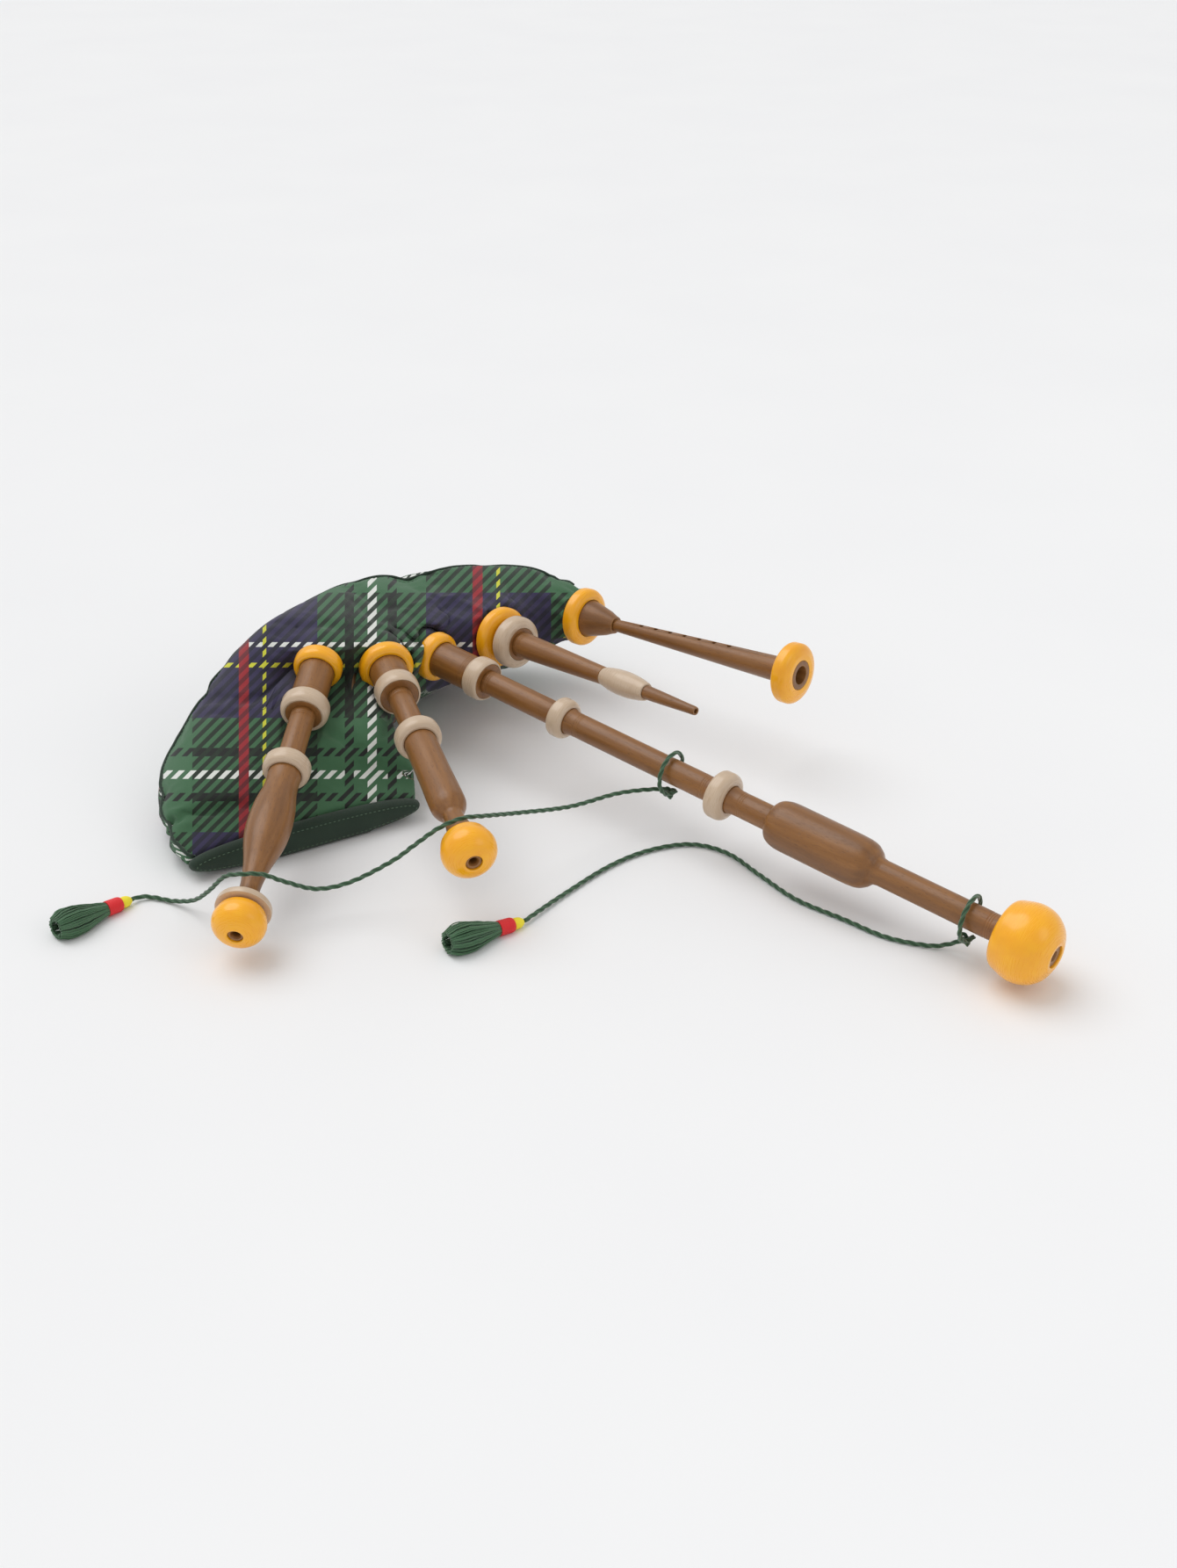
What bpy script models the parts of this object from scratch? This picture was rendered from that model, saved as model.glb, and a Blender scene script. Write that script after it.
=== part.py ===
"""Highland bagpipes laid on a table: a tartan bag with a bass drone, two tenor drones,
a blowpipe, a chanter, two drone cords with tassels, and the reeds and valve inside.

Metres, +X to the right, +Y away, +Z up. The bag lies on z = 0, and the origin is under the
middle of the bag and pipes. Each pipe is a stack of turned pieces on one straight axis,
placed by an empty at its base, where the stock leaves the bag. Along that axis t is the
distance from the base, and every slide moves along it.
"""
import math

import bmesh
import bpy
from mathutils import Matrix, Vector

# Clearances
FIT = 0.0003                # a pin in its socket, and a ring on its tube, on the radius
SEAT = 0.0003               # two faces that rest on each other
SIDES = 14                  # flats round every turned piece, so that pins and sockets line up
CORD_SIDES = 12             # flats round the tassels

# The bag: x, y, half width, lowest and highest point along its middle line
BAG_LINE = (
    (-0.2933, -0.0814, 0.130, 0.000, 0.034),
    (-0.3173, -0.0314, 0.140, 0.000, 0.064),
    (-0.3183, 0.0336, 0.129, 0.000, 0.100),
    (-0.3016, 0.1036, 0.102, 0.000, 0.160),
    (-0.2736, 0.1784, 0.094, 0.000, 0.162),
    (-0.2219, 0.2529, 0.086, 0.000, 0.156),
    (-0.1454, 0.2881, 0.071, 0.008, 0.156),
    (-0.0813, 0.3076, 0.061, 0.026, 0.148),
    (-0.0353, 0.3044, 0.047, 0.046, 0.140),
    (-0.0013, 0.2826, 0.041, 0.057, 0.142),
)
BAG_RINGS = 20              # cross-sections from the hem to the neck
BAG_POINTS = 20             # corners of each cross-section
BAG_ROUNDNESS = 2.4         # exponent of the cross-section's outline
BAG_FLAT = 0.90             # part of the half height below which the underside lies flat
COVER_WALL = 0.0022         # cloth and its lining
COVER_GAP = 0.0028          # air between the cover and the bladder
BLADDER_WALL = 0.0030       # leather
TRIM_DEPTH = 0.012          # how far the hem band stands out from the bag's front edge

# Stocks: the tubes tied into the bag
STOCK_INSIDE = 0.026        # length of a stock inside the bag
DRONE_STOCK_BORE = 0.0115
BLOWPIPE_STOCK_BORE = 0.0120
CHANTER_STOCK_BORE = 0.0066
COLLAR_WIDTH = 0.018
POCKET_BEYOND = 0.002       # the bag is bored this far past a stock's inner end
POCKET_DEPTH = 0.100        # and cleared this far outside, where the pipe passes over it
STOCK_MOUNT_WIDTH = 0.020
TENON_LENGTH = 0.036        # part of a pipe that slides into its stock

# Drones
DRONE_BORE = 0.0042
BORE_TAPER = 0.002          # length in which a seat narrows to the bore
PIN_RADIUS = 0.0095         # tuning pins
PIN_LENGTH = 0.048
PIN_END_GAP = 0.004         # free length of a socket beyond a pin pushed home
MOUNT_WIDTH = 0.019
CAP_LIP = 0.012             # depth that a cap is bored to seat on its tube
BUSH_RECESS = 0.002         # how far a cap's wooden bush lies below its face

# Reeds and valve
REED_RADIUS = 0.0038
REED_LENGTH = 0.056
REED_SEAT = 0.010
REED_BORE = 0.0022
TONGUE_SIZE = (0.0036, 0.0008, 0.036)
STAPLE_LENGTH = 0.024
BLADE_SIZE = (0.0100, 0.0030, 0.024)
VALVE_THICKNESS = 0.0016

# Cords and tassels
CORD_RADIUS = 0.0025
LOOP_SLACK = 0.0030         # a loop hangs this far below the middle of its pipe
TASSEL_BEAD = 0.0115
TASSEL_BINDING = 0.017
TASSEL_SKIRT = 0.056
TASSEL_RISE = 5.0           # degrees, because the skirt that lies on the table is wider than the bead

# Pipes: base, heading from +X and rise, both in degrees
BASS_PLACE = ((-0.1657, 0.1643, 0.102), -40.17, -4.17)
LEFT_TENOR_PLACE = ((-0.2923, 0.0795, 0.130), -95.45, -12.93)
RIGHT_TENOR_PLACE = ((-0.2180, 0.0995, 0.120), -71.59, -6.33)
BLOWPIPE_PLACE = ((-0.0928, 0.2114, 0.105), -46.20, 3.70)
CHANTER_PLACE = ((0.0040, 0.2777, 0.100), -39.26, 3.72)

# Cord routes after the loop round the pipe, each ending at its tassel
LOWER_CORD_LOOP_T = 0.341
UPPER_CORD_LOOP_T = 0.706
LOOP_RADIUS = 0.0225
LOWER_CORD_ROUTE = (
    (0.0787, -0.0474, 0.050), (0.0377, -0.0634, 0.054), (-0.0123, -0.1024, 0.061),
    (-0.0613, -0.1464, 0.080), (-0.0943, -0.1844, 0.099), (-0.1173, -0.2034, 0.1075),
    (-0.1403, -0.2134, 0.102), (-0.1643, -0.2134, 0.083), (-0.1883, -0.2104, 0.062),
    (-0.2293, -0.2134, 0.040), (-0.2623, -0.2234, 0.038), (-0.2903, -0.2384, 0.056),
    (-0.3093, -0.2504, 0.0722), (-0.3273, -0.2574, 0.0772), (-0.3463, -0.2504, 0.0700),
    (-0.3673, -0.2324, 0.042), (-0.3883, -0.2114, 0.017), (-0.4133, -0.1944, 0.0045),
    (-0.4343, -0.1864, 0.0034), (-0.4468, -0.1864, 0.0044), (-0.4558, -0.1929, 0.0055),
)
UPPER_CORD_ROUTE = (
    (0.3567, -0.2754, 0.0075), (0.3377, -0.2714, 0.0034), (0.2997, -0.2564, 0.0030), (0.2617, -0.2254, 0.0030),
    (0.2177, -0.1894, 0.0030), (0.1847, -0.1444, 0.0030), (0.1537, -0.1014, 0.0030),
    (0.1167, -0.0834, 0.0030), (0.0727, -0.0944, 0.0030), (0.0297, -0.1254, 0.0030),
    (-0.0183, -0.1804, 0.0034), (-0.0573, -0.2324, 0.0055),
)
LOWER_TASSEL_HEADING = -134.0
UPPER_TASSEL_HEADING = -146.0


def clear_scene():
    for item in list(bpy.data.objects):
        bpy.data.objects.remove(item, do_unlink=True)


def linear(red, green, blue):
    """A display colour, 0 to 255, as the linear values that a shader takes."""
    values = []
    for part in (red / 255, green / 255, blue / 255):
        values.append(part / 12.92 if part <= 0.04045 else ((part + 0.055) / 1.055) ** 2.4)
    return (*values, 1.0)


def finish(name, colour, roughness, metallic=0.0):
    made = bpy.data.materials.new(name)
    made.use_nodes = True
    shader = made.node_tree.nodes["Principled BSDF"]
    shader.inputs["Base Color"].default_value = linear(*colour)
    shader.inputs["Roughness"].default_value = roughness
    shader.inputs["Metallic"].default_value = metallic
    made.diffuse_color = linear(*colour)
    return made


def add_object(name, data, material, parent=None):
    made = bpy.data.objects.new(name, data)
    bpy.context.scene.collection.objects.link(made)
    made.parent = parent
    if material is not None:
        made.data.materials.append(material)
    return made


def mesh_from(bm, name, smooth=True):
    bmesh.ops.recalc_face_normals(bm, faces=bm.faces)
    mesh = bpy.data.meshes.new(name)
    bm.to_mesh(mesh)
    bm.free()
    if smooth:
        mesh.shade_smooth()
        mesh.set_sharp_from_angle(angle=math.radians(35))
    return mesh


def pipe_axis(name, place):
    """An empty at a pipe's base whose +Z runs out along the pipe."""
    base, heading, rise = place
    empty = bpy.data.objects.new(name, None)
    bpy.context.scene.collection.objects.link(empty)
    empty.location = base
    out = direction(place)
    empty.rotation_euler = out.to_track_quat("Z", "Y").to_euler()
    return empty


def direction(place):
    heading = math.radians(place[1])
    rise = math.radians(place[2])
    flat = math.cos(rise)
    return Vector((flat * math.cos(heading), flat * math.sin(heading), math.sin(rise)))


def point_on(place, distance):
    return Vector(place[0]) + direction(place) * distance


def frame_at(place):
    """The world matrix of a pipe's axis."""
    turn = direction(place).to_track_quat("Z", "Y").to_matrix().to_4x4()
    return Matrix.Translation(Vector(place[0])) @ turn


def turned(name, outside, inside, material, axis, sides=SIDES):
    """A lathe-turned piece. Both outlines are (t, radius) from low t to high t, and no inside is solid."""
    bm = bmesh.new()
    outline = [Vector((radius, 0, t)) for t, radius in outside]
    if inside:
        outline += [Vector((radius, 0, t)) for t, radius in reversed(inside)]
        outline.append(outline[0])
    else:
        outline.insert(0, Vector((0, 0, outside[0][0])))
        outline.append(Vector((0, 0, outside[-1][0])))
    corners = [bm.verts.new(point) for point in outline]
    edges = [bm.edges.new(pair) for pair in zip(corners, corners[1:])]
    bmesh.ops.spin(bm, geom=corners + edges, cent=(0, 0, 0), axis=(0, 0, 1), angle=math.tau,
                   steps=sides, use_merge=True)
    bmesh.ops.remove_doubles(bm, verts=bm.verts, dist=0.00001)
    made = add_object(name, mesh_from(bm, name), material, axis)
    return made


def hide_tool(tool):
    tool.hide_render = True
    tool.display_type = "WIRE"


def cut(target, tool):
    hide_tool(tool)
    modifier = target.modifiers.new("cut_" + tool.name, "BOOLEAN")
    modifier.operation = "DIFFERENCE"
    modifier.object = tool


def smooth_path(route, spacing):
    """Points about a spacing apart on the smooth curve through a route's own points."""
    points = [Vector(point) for point in route]
    ends = [points[0] * 2 - points[1]] + points + [points[-1] * 2 - points[-2]]
    path = []
    for before, start, end, after in zip(ends, ends[1:], ends[2:], ends[3:]):
        steps = max(1, round((end - start).length / spacing))
        for step in range(steps):
            s = step / steps
            path.append(0.5 * (2 * start + (end - before) * s
                               + (2 * before - 5 * start + 4 * end - after) * s ** 2
                               + (3 * start - before - 3 * end + after) * s ** 3))
    path.append(points[-1])
    return path


# The bag --------------------------------------------------------------------------------------

def bag_sections():
    """The middle line's rows, evenly filled in on a smooth curve that stays above the table."""
    count = len(BAG_LINE)
    filled = []
    for ring in range(BAG_RINGS):
        place = ring / (BAG_RINGS - 1) * (count - 1)
        index = min(int(place), count - 2)
        s = place - index
        near = [BAG_LINE[min(max(index + step, 0), count - 1)] for step in (-1, 0, 1, 2)]
        row = []
        for before, start, end, after in zip(*near):
            row.append(0.5 * (2 * start + (end - before) * s
                              + (2 * before - 5 * start + 4 * end - after) * s ** 2
                              + (3 * start - before - 3 * end + after) * s ** 3))
        row[3] = max(row[3], 0.0)
        filled.append(row)
    return filled


def bag_ring(rows, index, inset, advance):
    """Corners of one cross-section, shrunk by inset and moved along the line by advance."""
    x, y, half_width, low, high = rows[index]
    before = rows[max(index - 1, 0)]
    after = rows[min(index + 1, len(rows) - 1)]
    along = Vector((after[0] - before[0], after[1] - before[1], 0)).normalized()
    across = Vector((-along.y, along.x, 0))
    centre = Vector((x, y, (low + high) / 2)) + along * advance
    half_width -= inset
    half_height = (high - low) / 2 - inset
    power = 2 / BAG_ROUNDNESS
    tallest = math.cos(math.pi / BAG_POINTS) ** power
    corners = []
    for step in range(BAG_POINTS):
        angle = math.tau * (step + 0.5) / BAG_POINTS
        side = math.copysign(abs(math.cos(angle)) ** power, math.cos(angle))
        rise = math.copysign(abs(math.sin(angle)) ** power, math.sin(angle)) / tallest
        if rise < -BAG_FLAT:
            rise = -1.0
        corners.append(centre + across * side * half_width + Vector((0, 0, rise * half_height)))
    return corners


def loft(rings):
    """A closed skin over a row of rings, as a new bmesh."""
    bm = bmesh.new()
    loops = [[bm.verts.new(corner) for corner in ring] for ring in rings]
    for near, far in zip(loops, loops[1:]):
        for step in range(len(near)):
            following = (step + 1) % len(near)
            bm.faces.new((near[step], near[following], far[following], far[step]))
    bm.faces.new(loops[0])
    bm.faces.new(list(reversed(loops[-1])))
    return bm


def bag_solid(name, inset, material):
    """The bag's form, shrunk by inset all round and at both ends."""
    rows = bag_sections()
    rings = []
    for index in range(len(rows)):
        advance = 0.0
        if index == 0:
            advance = inset
        if index == len(rows) - 1:
            advance = -inset
        rings.append(bag_ring(rows, index, inset, advance))
    return add_object(name, mesh_from(loft(rings), name), material)


def pocket_tool(pipe):
    """What a stock and its collar take out of the bag: a narrow bore inside, a wide one outside."""
    start = pipe["collar_end"] - COLLAR_WIDTH - SEAT
    stock_radius = pipe["stock_radius"] + FIT
    collar_radius = pipe.get("neck_cut_radius", pipe["stock_radius"] + pipe["collar_wall"] + FIT)
    outside = ((-STOCK_INSIDE - POCKET_BEYOND, stock_radius), (start, stock_radius),
               (start, collar_radius), (start + POCKET_DEPTH, collar_radius))
    tool = turned(pipe["name"] + "_pocket", outside, None, None, None)
    tool.matrix_world = frame_at(pipe["place"])
    return tool


def make_bag(pipes, cloth, leather, trim_cloth):
    cover = bag_solid("bag_cover", 0.0, cloth)
    cover_room = bag_solid("cover_room", COVER_WALL, None)
    bladder = bag_solid("bag_bladder", COVER_WALL + COVER_GAP, leather)
    bladder_room = bag_solid("bladder_room", COVER_WALL + COVER_GAP + BLADDER_WALL, None)
    cut(cover, cover_room)
    cut(bladder, bladder_room)
    for pipe in pipes:
        tool = pocket_tool(pipe)
        cut(cover, tool)
        cut(bladder, tool)

    rows = bag_sections()
    rings = []
    for advance, inset in ((-SEAT, 0.0015), (-0.3 * TRIM_DEPTH, 0.0), (-0.7 * TRIM_DEPTH, 0.001),
                           (-TRIM_DEPTH, 0.006)):
        rings.append(bag_ring(rows, 0, inset, advance))
    add_object("bag_trim", mesh_from(loft(rings), "bag_trim"), trim_cloth)


# Rings ----------------------------------------------------------------------------------------

def ring_piece(name, start, width, large, hole, material, axis):
    """A collar or mount: a ring with rounded shoulders, the outer one rounder."""
    wall = large - hole
    ring = ((start, hole + wall * 0.55), (start + width * 0.25, large), (start + width * 0.62, large),
            (start + width, hole + wall * 0.35))
    return turned(name, ring, ((start, hole), (start + width, hole)), material, axis)


# Stocks ---------------------------------------------------------------------------------------

def make_stock(pipe, axis, wood, gold, ivory):
    """A stock with its gold collar at the bag and, on most, an ivory-coloured mount at its mouth."""
    name = pipe["name"]
    bore = pipe["stock_bore"]
    radius = pipe["stock_radius"]
    mouth = pipe["mouth"]
    tip = pipe.get("stock_tip_radius", radius)
    outside = [(-STOCK_INSIDE, radius * 0.92), (-STOCK_INSIDE + 0.006, radius),
               (pipe["collar_end"], radius), (mouth, tip)]
    turned(name + "_stock", outside, ((-STOCK_INSIDE, bore), (mouth, bore)), wood, axis)

    hole = radius + FIT
    start = pipe["collar_end"] - COLLAR_WIDTH
    ring_piece(name + "_collar", start, COLLAR_WIDTH, radius + pipe["collar_wall"], hole, gold, axis)
    if "stock_mount_wall" in pipe:
        start = mouth - STOCK_MOUNT_WIDTH
        ring_piece(name + "_stock_mount", start, STOCK_MOUNT_WIDTH, radius + pipe["stock_mount_wall"],
                   hole, ivory, axis)


# Drones ---------------------------------------------------------------------------------------

def make_reed(name, seat, axis, cane):
    """A cane reed: a tube plugged into the tenon, with a tongue that beats on its side."""
    end = seat + REED_SEAT
    start = end - REED_LENGTH
    turned(name + "_reed", ((start, REED_RADIUS), (end, REED_RADIUS)),
           ((start, REED_BORE), (end, REED_BORE)), cane, axis, 8)
    width, thickness, length = TONGUE_SIZE
    bm = bmesh.new()
    bmesh.ops.create_cube(bm, size=1.0)
    bmesh.ops.scale(bm, vec=(width, thickness, length), verts=bm.verts)
    tongue = add_object(name + "_reed_tongue", mesh_from(bm, name + "_tongue", False), cane, axis)
    tongue.location = (0, REED_RADIUS + SEAT + thickness / 2, start + 0.004 + length / 2)


def make_bottom_joint(name, start, end, tube_radius, material, axis):
    """The lowest length of a drone: a tenon bored for the reed, a tube, and a tuning pin."""
    tenon = DRONE_STOCK_BORE - FIT
    foot = start - TENON_LENGTH
    seat = foot + REED_SEAT + SEAT
    outside = ((foot, tenon), (start, tenon), (start, tube_radius), (end, tube_radius),
               (end, PIN_RADIUS), (end + PIN_LENGTH, PIN_RADIUS))
    inside = ((foot, REED_RADIUS + FIT), (seat, REED_RADIUS + FIT), (seat + BORE_TAPER, DRONE_BORE),
              (end + PIN_LENGTH, DRONE_BORE))
    return turned(name, outside, inside, material, axis)


def make_upper_joint(name, start, socket_radius, body, pin, material, axis):
    """A length of a drone whose socket slides on the pin below, with its own pin above or none."""
    socket = start + PIN_LENGTH + PIN_END_GAP
    end = body[-1][0]
    outside = [(start, socket_radius)] + list(body)
    inside = [(start, PIN_RADIUS + FIT), (socket, PIN_RADIUS + FIT), (socket + 2 * BORE_TAPER, DRONE_BORE)]
    if pin:
        outside += [(end, PIN_RADIUS), (end + PIN_LENGTH, PIN_RADIUS)]
        end += PIN_LENGTH
    return turned(name, outside, inside + [(end, DRONE_BORE)], material, axis)


def make_cap(pipe, start, tube_radius, wood, gold, axis):
    """A domed end cap, bored below for the tube, with a wooden bush in its sound hole."""
    large = pipe["cap_radius"]
    hole = pipe["cap_hole"]
    depth = pipe["cap_length"]
    end = start + depth
    inner = start + CAP_LIP
    ring = ((start, tube_radius + 0.006), (start + depth * 0.22, large * 0.93),
            (start + depth * 0.45, large), (start + depth * 0.70, large * 0.93),
            (start + depth * 0.90, large * 0.70), (end, hole * 1.35))
    bore = ((start, tube_radius + FIT), (inner, tube_radius + FIT), (inner, hole), (end, hole))
    turned(pipe["name"] + "_cap", ring, bore, gold, axis)
    bush = hole - FIT
    low = inner + SEAT
    high = end - BUSH_RECESS
    turned(pipe["name"] + "_cap_bush", ((low, bush), (high, bush)), ((low, DRONE_BORE), (high, DRONE_BORE)),
           wood, axis)


def make_bass(pipe, axis, wood, gold, ivory, cane):
    mouth = pipe["mouth"] + SEAT
    tube = pipe["tube_radius"]
    outer = pipe["socket_radius"]
    middle = pipe["mouth"] + pipe["bottom_length"]
    top = middle + pipe["middle_length"]
    make_bottom_joint("bass_bottom_joint", mouth, middle - SEAT, tube, wood, axis)
    make_reed("bass", mouth - TENON_LENGTH, axis, cane)

    mount_end = middle + MOUNT_WIDTH
    body = ((mount_end + 0.002, outer), (mount_end + 0.010, tube), (top - SEAT, tube))
    make_upper_joint("bass_middle_joint", middle, outer, body, True, wood, axis)
    ring_piece("bass_middle_mount", middle + 0.001, MOUNT_WIDTH, outer + pipe["middle_mount_wall"],
               outer + FIT, ivory, axis)

    large = pipe["bulge_radius"]
    low = top + pipe["bulge_offset"]
    high = low + pipe["bulge_length"]
    cap = high + pipe["neck_length"]
    mount_end = top + MOUNT_WIDTH + 0.002
    body = ((mount_end + 0.002, outer), (mount_end + 0.010, tube), (low, tube),
            (low + 0.004, large * 0.82), (low + 0.024, large), (high - 0.018, large * 0.98),
            (high - 0.004, large * 0.80), (high + 0.008, tube), (cap + CAP_LIP - SEAT, tube))
    make_upper_joint("bass_top_joint", top, outer, body, False, wood, axis)
    ring_piece("bass_top_mount", top + 0.001, MOUNT_WIDTH + 0.002, outer + pipe["top_mount_wall"],
               outer + FIT, ivory, axis)
    make_cap(pipe, cap, tube, wood, gold, axis)


def make_tenor(pipe, axis, wood, gold, ivory, cane):
    name = pipe["name"]
    mouth = pipe["mouth"] + SEAT
    outer = pipe["socket_radius"]
    neck = pipe["neck_radius"]
    top = pipe["mouth"] + pipe["bottom_length"]
    cap = top + pipe["top_length"]
    make_bottom_joint(name + "_bottom_joint", mouth, top - SEAT, pipe["tube_radius"], wood, axis)
    make_reed(name, mouth - TENON_LENGTH, axis, cane)

    body = [(top + MOUNT_WIDTH + 0.002, outer)]
    body += [(top + offset, radius) for offset, radius in pipe["body"]]
    body.append((cap + CAP_LIP - SEAT, neck))
    make_upper_joint(name + "_top_joint", top, outer, body, False, wood, axis)
    ring_piece(name + "_mount", top + 0.001, MOUNT_WIDTH, outer + pipe["mount_wall"], outer + FIT,
               ivory, axis)
    make_cap(pipe, cap, neck, wood, gold, axis)
    if "washer_width" in pipe:
        end = cap - SEAT
        start = end - pipe["washer_width"]
        large = pipe["cap_radius"] + 0.0008
        ring = ((start, large * 0.80), (start + 0.003, large * 0.97), (end, large))
        turned(name + "_cap_washer", ring, ((start, neck + FIT), (end, neck + FIT)), ivory, axis)


# Blowpipe -------------------------------------------------------------------------------------

def make_blowpipe(pipe, axis, wood, ivory, leather):
    mouth = pipe["mouth"] + SEAT
    tenon = BLOWPIPE_STOCK_BORE - FIT
    bore = pipe["bore"]
    throat = pipe["throat"]
    bulb = pipe["mouth"] + pipe["tube_length"]
    bulb_end = bulb + pipe["bulb_length"]
    end = bulb_end + pipe["mouthpiece_length"]
    pin = pipe["pin_radius"]
    pin_end = bulb + (bulb_end - bulb) * 0.48
    outside = ((mouth - TENON_LENGTH, tenon), (mouth, tenon), (mouth, pipe["tube_radius"]),
               (bulb - SEAT, pipe["tube_end_radius"]), (bulb - SEAT, pin), (pin_end, pin))
    inside = ((mouth - TENON_LENGTH, bore), (bulb - 0.030, throat), (pin_end, throat))
    turned("blowpipe_tube", outside, inside, wood, axis)

    length = bulb_end - bulb
    small = pipe["tube_end_radius"] - SEAT
    large = pipe["bulb_radius"]
    ring = []
    for step in range(9):
        s = step / 8
        ring.append((bulb + length * s, small + (large - small) * math.sin(math.pi * s) ** 0.8))
    turned("blowpipe_bulb", ring, ((bulb, pin + FIT), (bulb_end, pin + FIT)), ivory, axis)

    seat = bulb_end + SEAT
    outside = ((pin_end + SEAT, pin), (seat, pin), (seat, pipe["mouthpiece_radius"]),
               (end - 0.004, pipe["tip_radius"]), (end, pipe["tip_radius"] - 0.0006))
    turned("mouthpiece", outside, ((pin_end + SEAT, throat - 0.0006), (end, throat - 0.0016)), wood, axis)

    flap_end = mouth - TENON_LENGTH - SEAT
    turned("valve_flap", ((flap_end - VALVE_THICKNESS, tenon * 0.78), (flap_end, tenon * 0.78)),
           None, leather, axis)


# Chanter --------------------------------------------------------------------------------------

def make_chanter(pipe, axis, wood, gold, brass, cane):
    mouth = pipe["mouth"] + SEAT
    tenon = CHANTER_STOCK_BORE - FIT
    start = mouth - pipe["tenon_length"]
    sole = pipe["mouth"] + pipe["body_length"]
    end = sole + pipe["sole_width"]
    first_hole = pipe["mouth"] + pipe["first_hole"]
    flare = pipe["end_radius"]
    seat_radius = pipe["reed_seat_radius"]
    outside = ((start, tenon), (mouth, tenon), (mouth, pipe["top_radius"]),
               (sole - 0.004, pipe["low_radius"]), (sole - 0.001, flare), (end, flare))
    inside = ((start, seat_radius), (start + 0.012, seat_radius), (start + 0.014, 0.0022),
              (sole - 0.020, 0.0068), (end, pipe["bell_bore"]))
    body = turned("chanter_body", outside, inside, wood, axis)
    holes = bmesh.new()
    for hole in range(pipe["holes"]):
        spot = first_hole + hole * pipe["hole_spacing"]
        shift = Matrix.Translation((0, 0.010, spot)) @ Matrix.Rotation(math.radians(90), 4, "X")
        bmesh.ops.create_cone(holes, cap_ends=True, segments=8, radius1=pipe["hole_radius"],
                              radius2=pipe["hole_radius"], depth=0.020, matrix=shift)
    spot = first_hole - 0.5 * pipe["hole_spacing"]
    shift = Matrix.Translation((0, -0.010, spot)) @ Matrix.Rotation(math.radians(90), 4, "X")
    bmesh.ops.create_cone(holes, cap_ends=True, segments=8, radius1=pipe["hole_radius"],
                          radius2=pipe["hole_radius"], depth=0.020, matrix=shift)
    cut(body, add_object("finger_holes", mesh_from(holes, "finger_holes", False), None, axis))

    ring_piece("chanter_sole", sole, pipe["sole_width"], flare + pipe["sole_wall"], flare + FIT, gold,
               axis)

    staple_end = start + 0.010
    staple = staple_end - STAPLE_LENGTH
    turned("chanter_reed_staple", ((staple, 0.0018), (staple_end, seat_radius - FIT)),
           ((staple, 0.0011), (staple_end, 0.0016)), brass, axis, 8)
    middle = staple - SEAT - BLADE_SIZE[2] / 2
    bm = bmesh.new()
    low = Matrix.Translation((0, 0, middle)) @ Matrix.Diagonal((*BLADE_SIZE, 1))
    bmesh.ops.create_cube(bm, size=1.0, matrix=low)
    for corner in bm.verts:
        if corner.co.z < middle:
            corner.co.y *= 0.35
        else:
            corner.co.x *= 0.5
    add_object("chanter_reed_blades", mesh_from(bm, "reed_blades", False), cane, axis)


# Cords and tassels ----------------------------------------------------------------------------

def loop_points(place, distance, radius, first, turn, count):
    """Points of a loop round a pipe, from an angle under it, through a turn, in degrees."""
    out = direction(place)
    centre = point_on(place, distance)
    side = Vector((0, 0, 1)).cross(out).normalized()
    up = out.cross(side)
    points = []
    for step in range(count):
        angle = math.radians(first + turn * step / (count - 1))
        along = out * (CORD_RADIUS * 4.0) * (step / (count - 1) - 0.5)
        drop = up * (-LOOP_SLACK)
        points.append(centre + drop + along + side * radius * math.sin(angle) + up * radius * math.cos(angle))
    return points


def make_cord(name, place, distance, first, turn, route, material):
    loop = loop_points(place, distance, LOOP_RADIUS, first, turn, 12)
    points = smooth_path([tuple(point) for point in loop] + list(route), 0.0140)
    curve = bpy.data.curves.new(name, "CURVE")
    curve.dimensions = "3D"
    curve.bevel_depth = CORD_RADIUS
    curve.bevel_resolution = 2
    curve.use_fill_caps = True
    spline = curve.splines.new("POLY")
    spline.points.add(len(points) - 1)
    for corner, point in zip(spline.points, points):
        corner.co = (*point, 1.0)
    return add_object(name, curve, material)


def make_tassel(name, start, heading, materials):
    """A bead, a bound neck and a skirt of threads, in line behind the cord's end."""
    place = (start, heading, TASSEL_RISE)
    axis = pipe_axis(name + "_axis", place)
    bead = SEAT + CORD_RADIUS * 0.4
    binding = bead + TASSEL_BEAD + SEAT
    skirt = binding + TASSEL_BINDING + SEAT
    turned(name + "_bead", ((bead, 0.0030), (bead + 0.004, 0.0052), (bead + TASSEL_BEAD, 0.0060)),
           None, materials["yellow"], axis, CORD_SIDES)
    turned(name + "_binding", ((binding, 0.0066), (binding + 0.003, 0.0076),
                               (binding + TASSEL_BINDING, 0.0080)), None, materials["red"], axis, CORD_SIDES)
    end = skirt + TASSEL_SKIRT
    turned(name + "_skirt", ((skirt, 0.0072), (skirt + 0.018, 0.0118), (end - 0.016, 0.0140),
                             (end - 0.004, 0.0120), (end, 0.0080)), None, materials["green"], axis,
           CORD_SIDES)


# Assembly -------------------------------------------------------------------------------------

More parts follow.
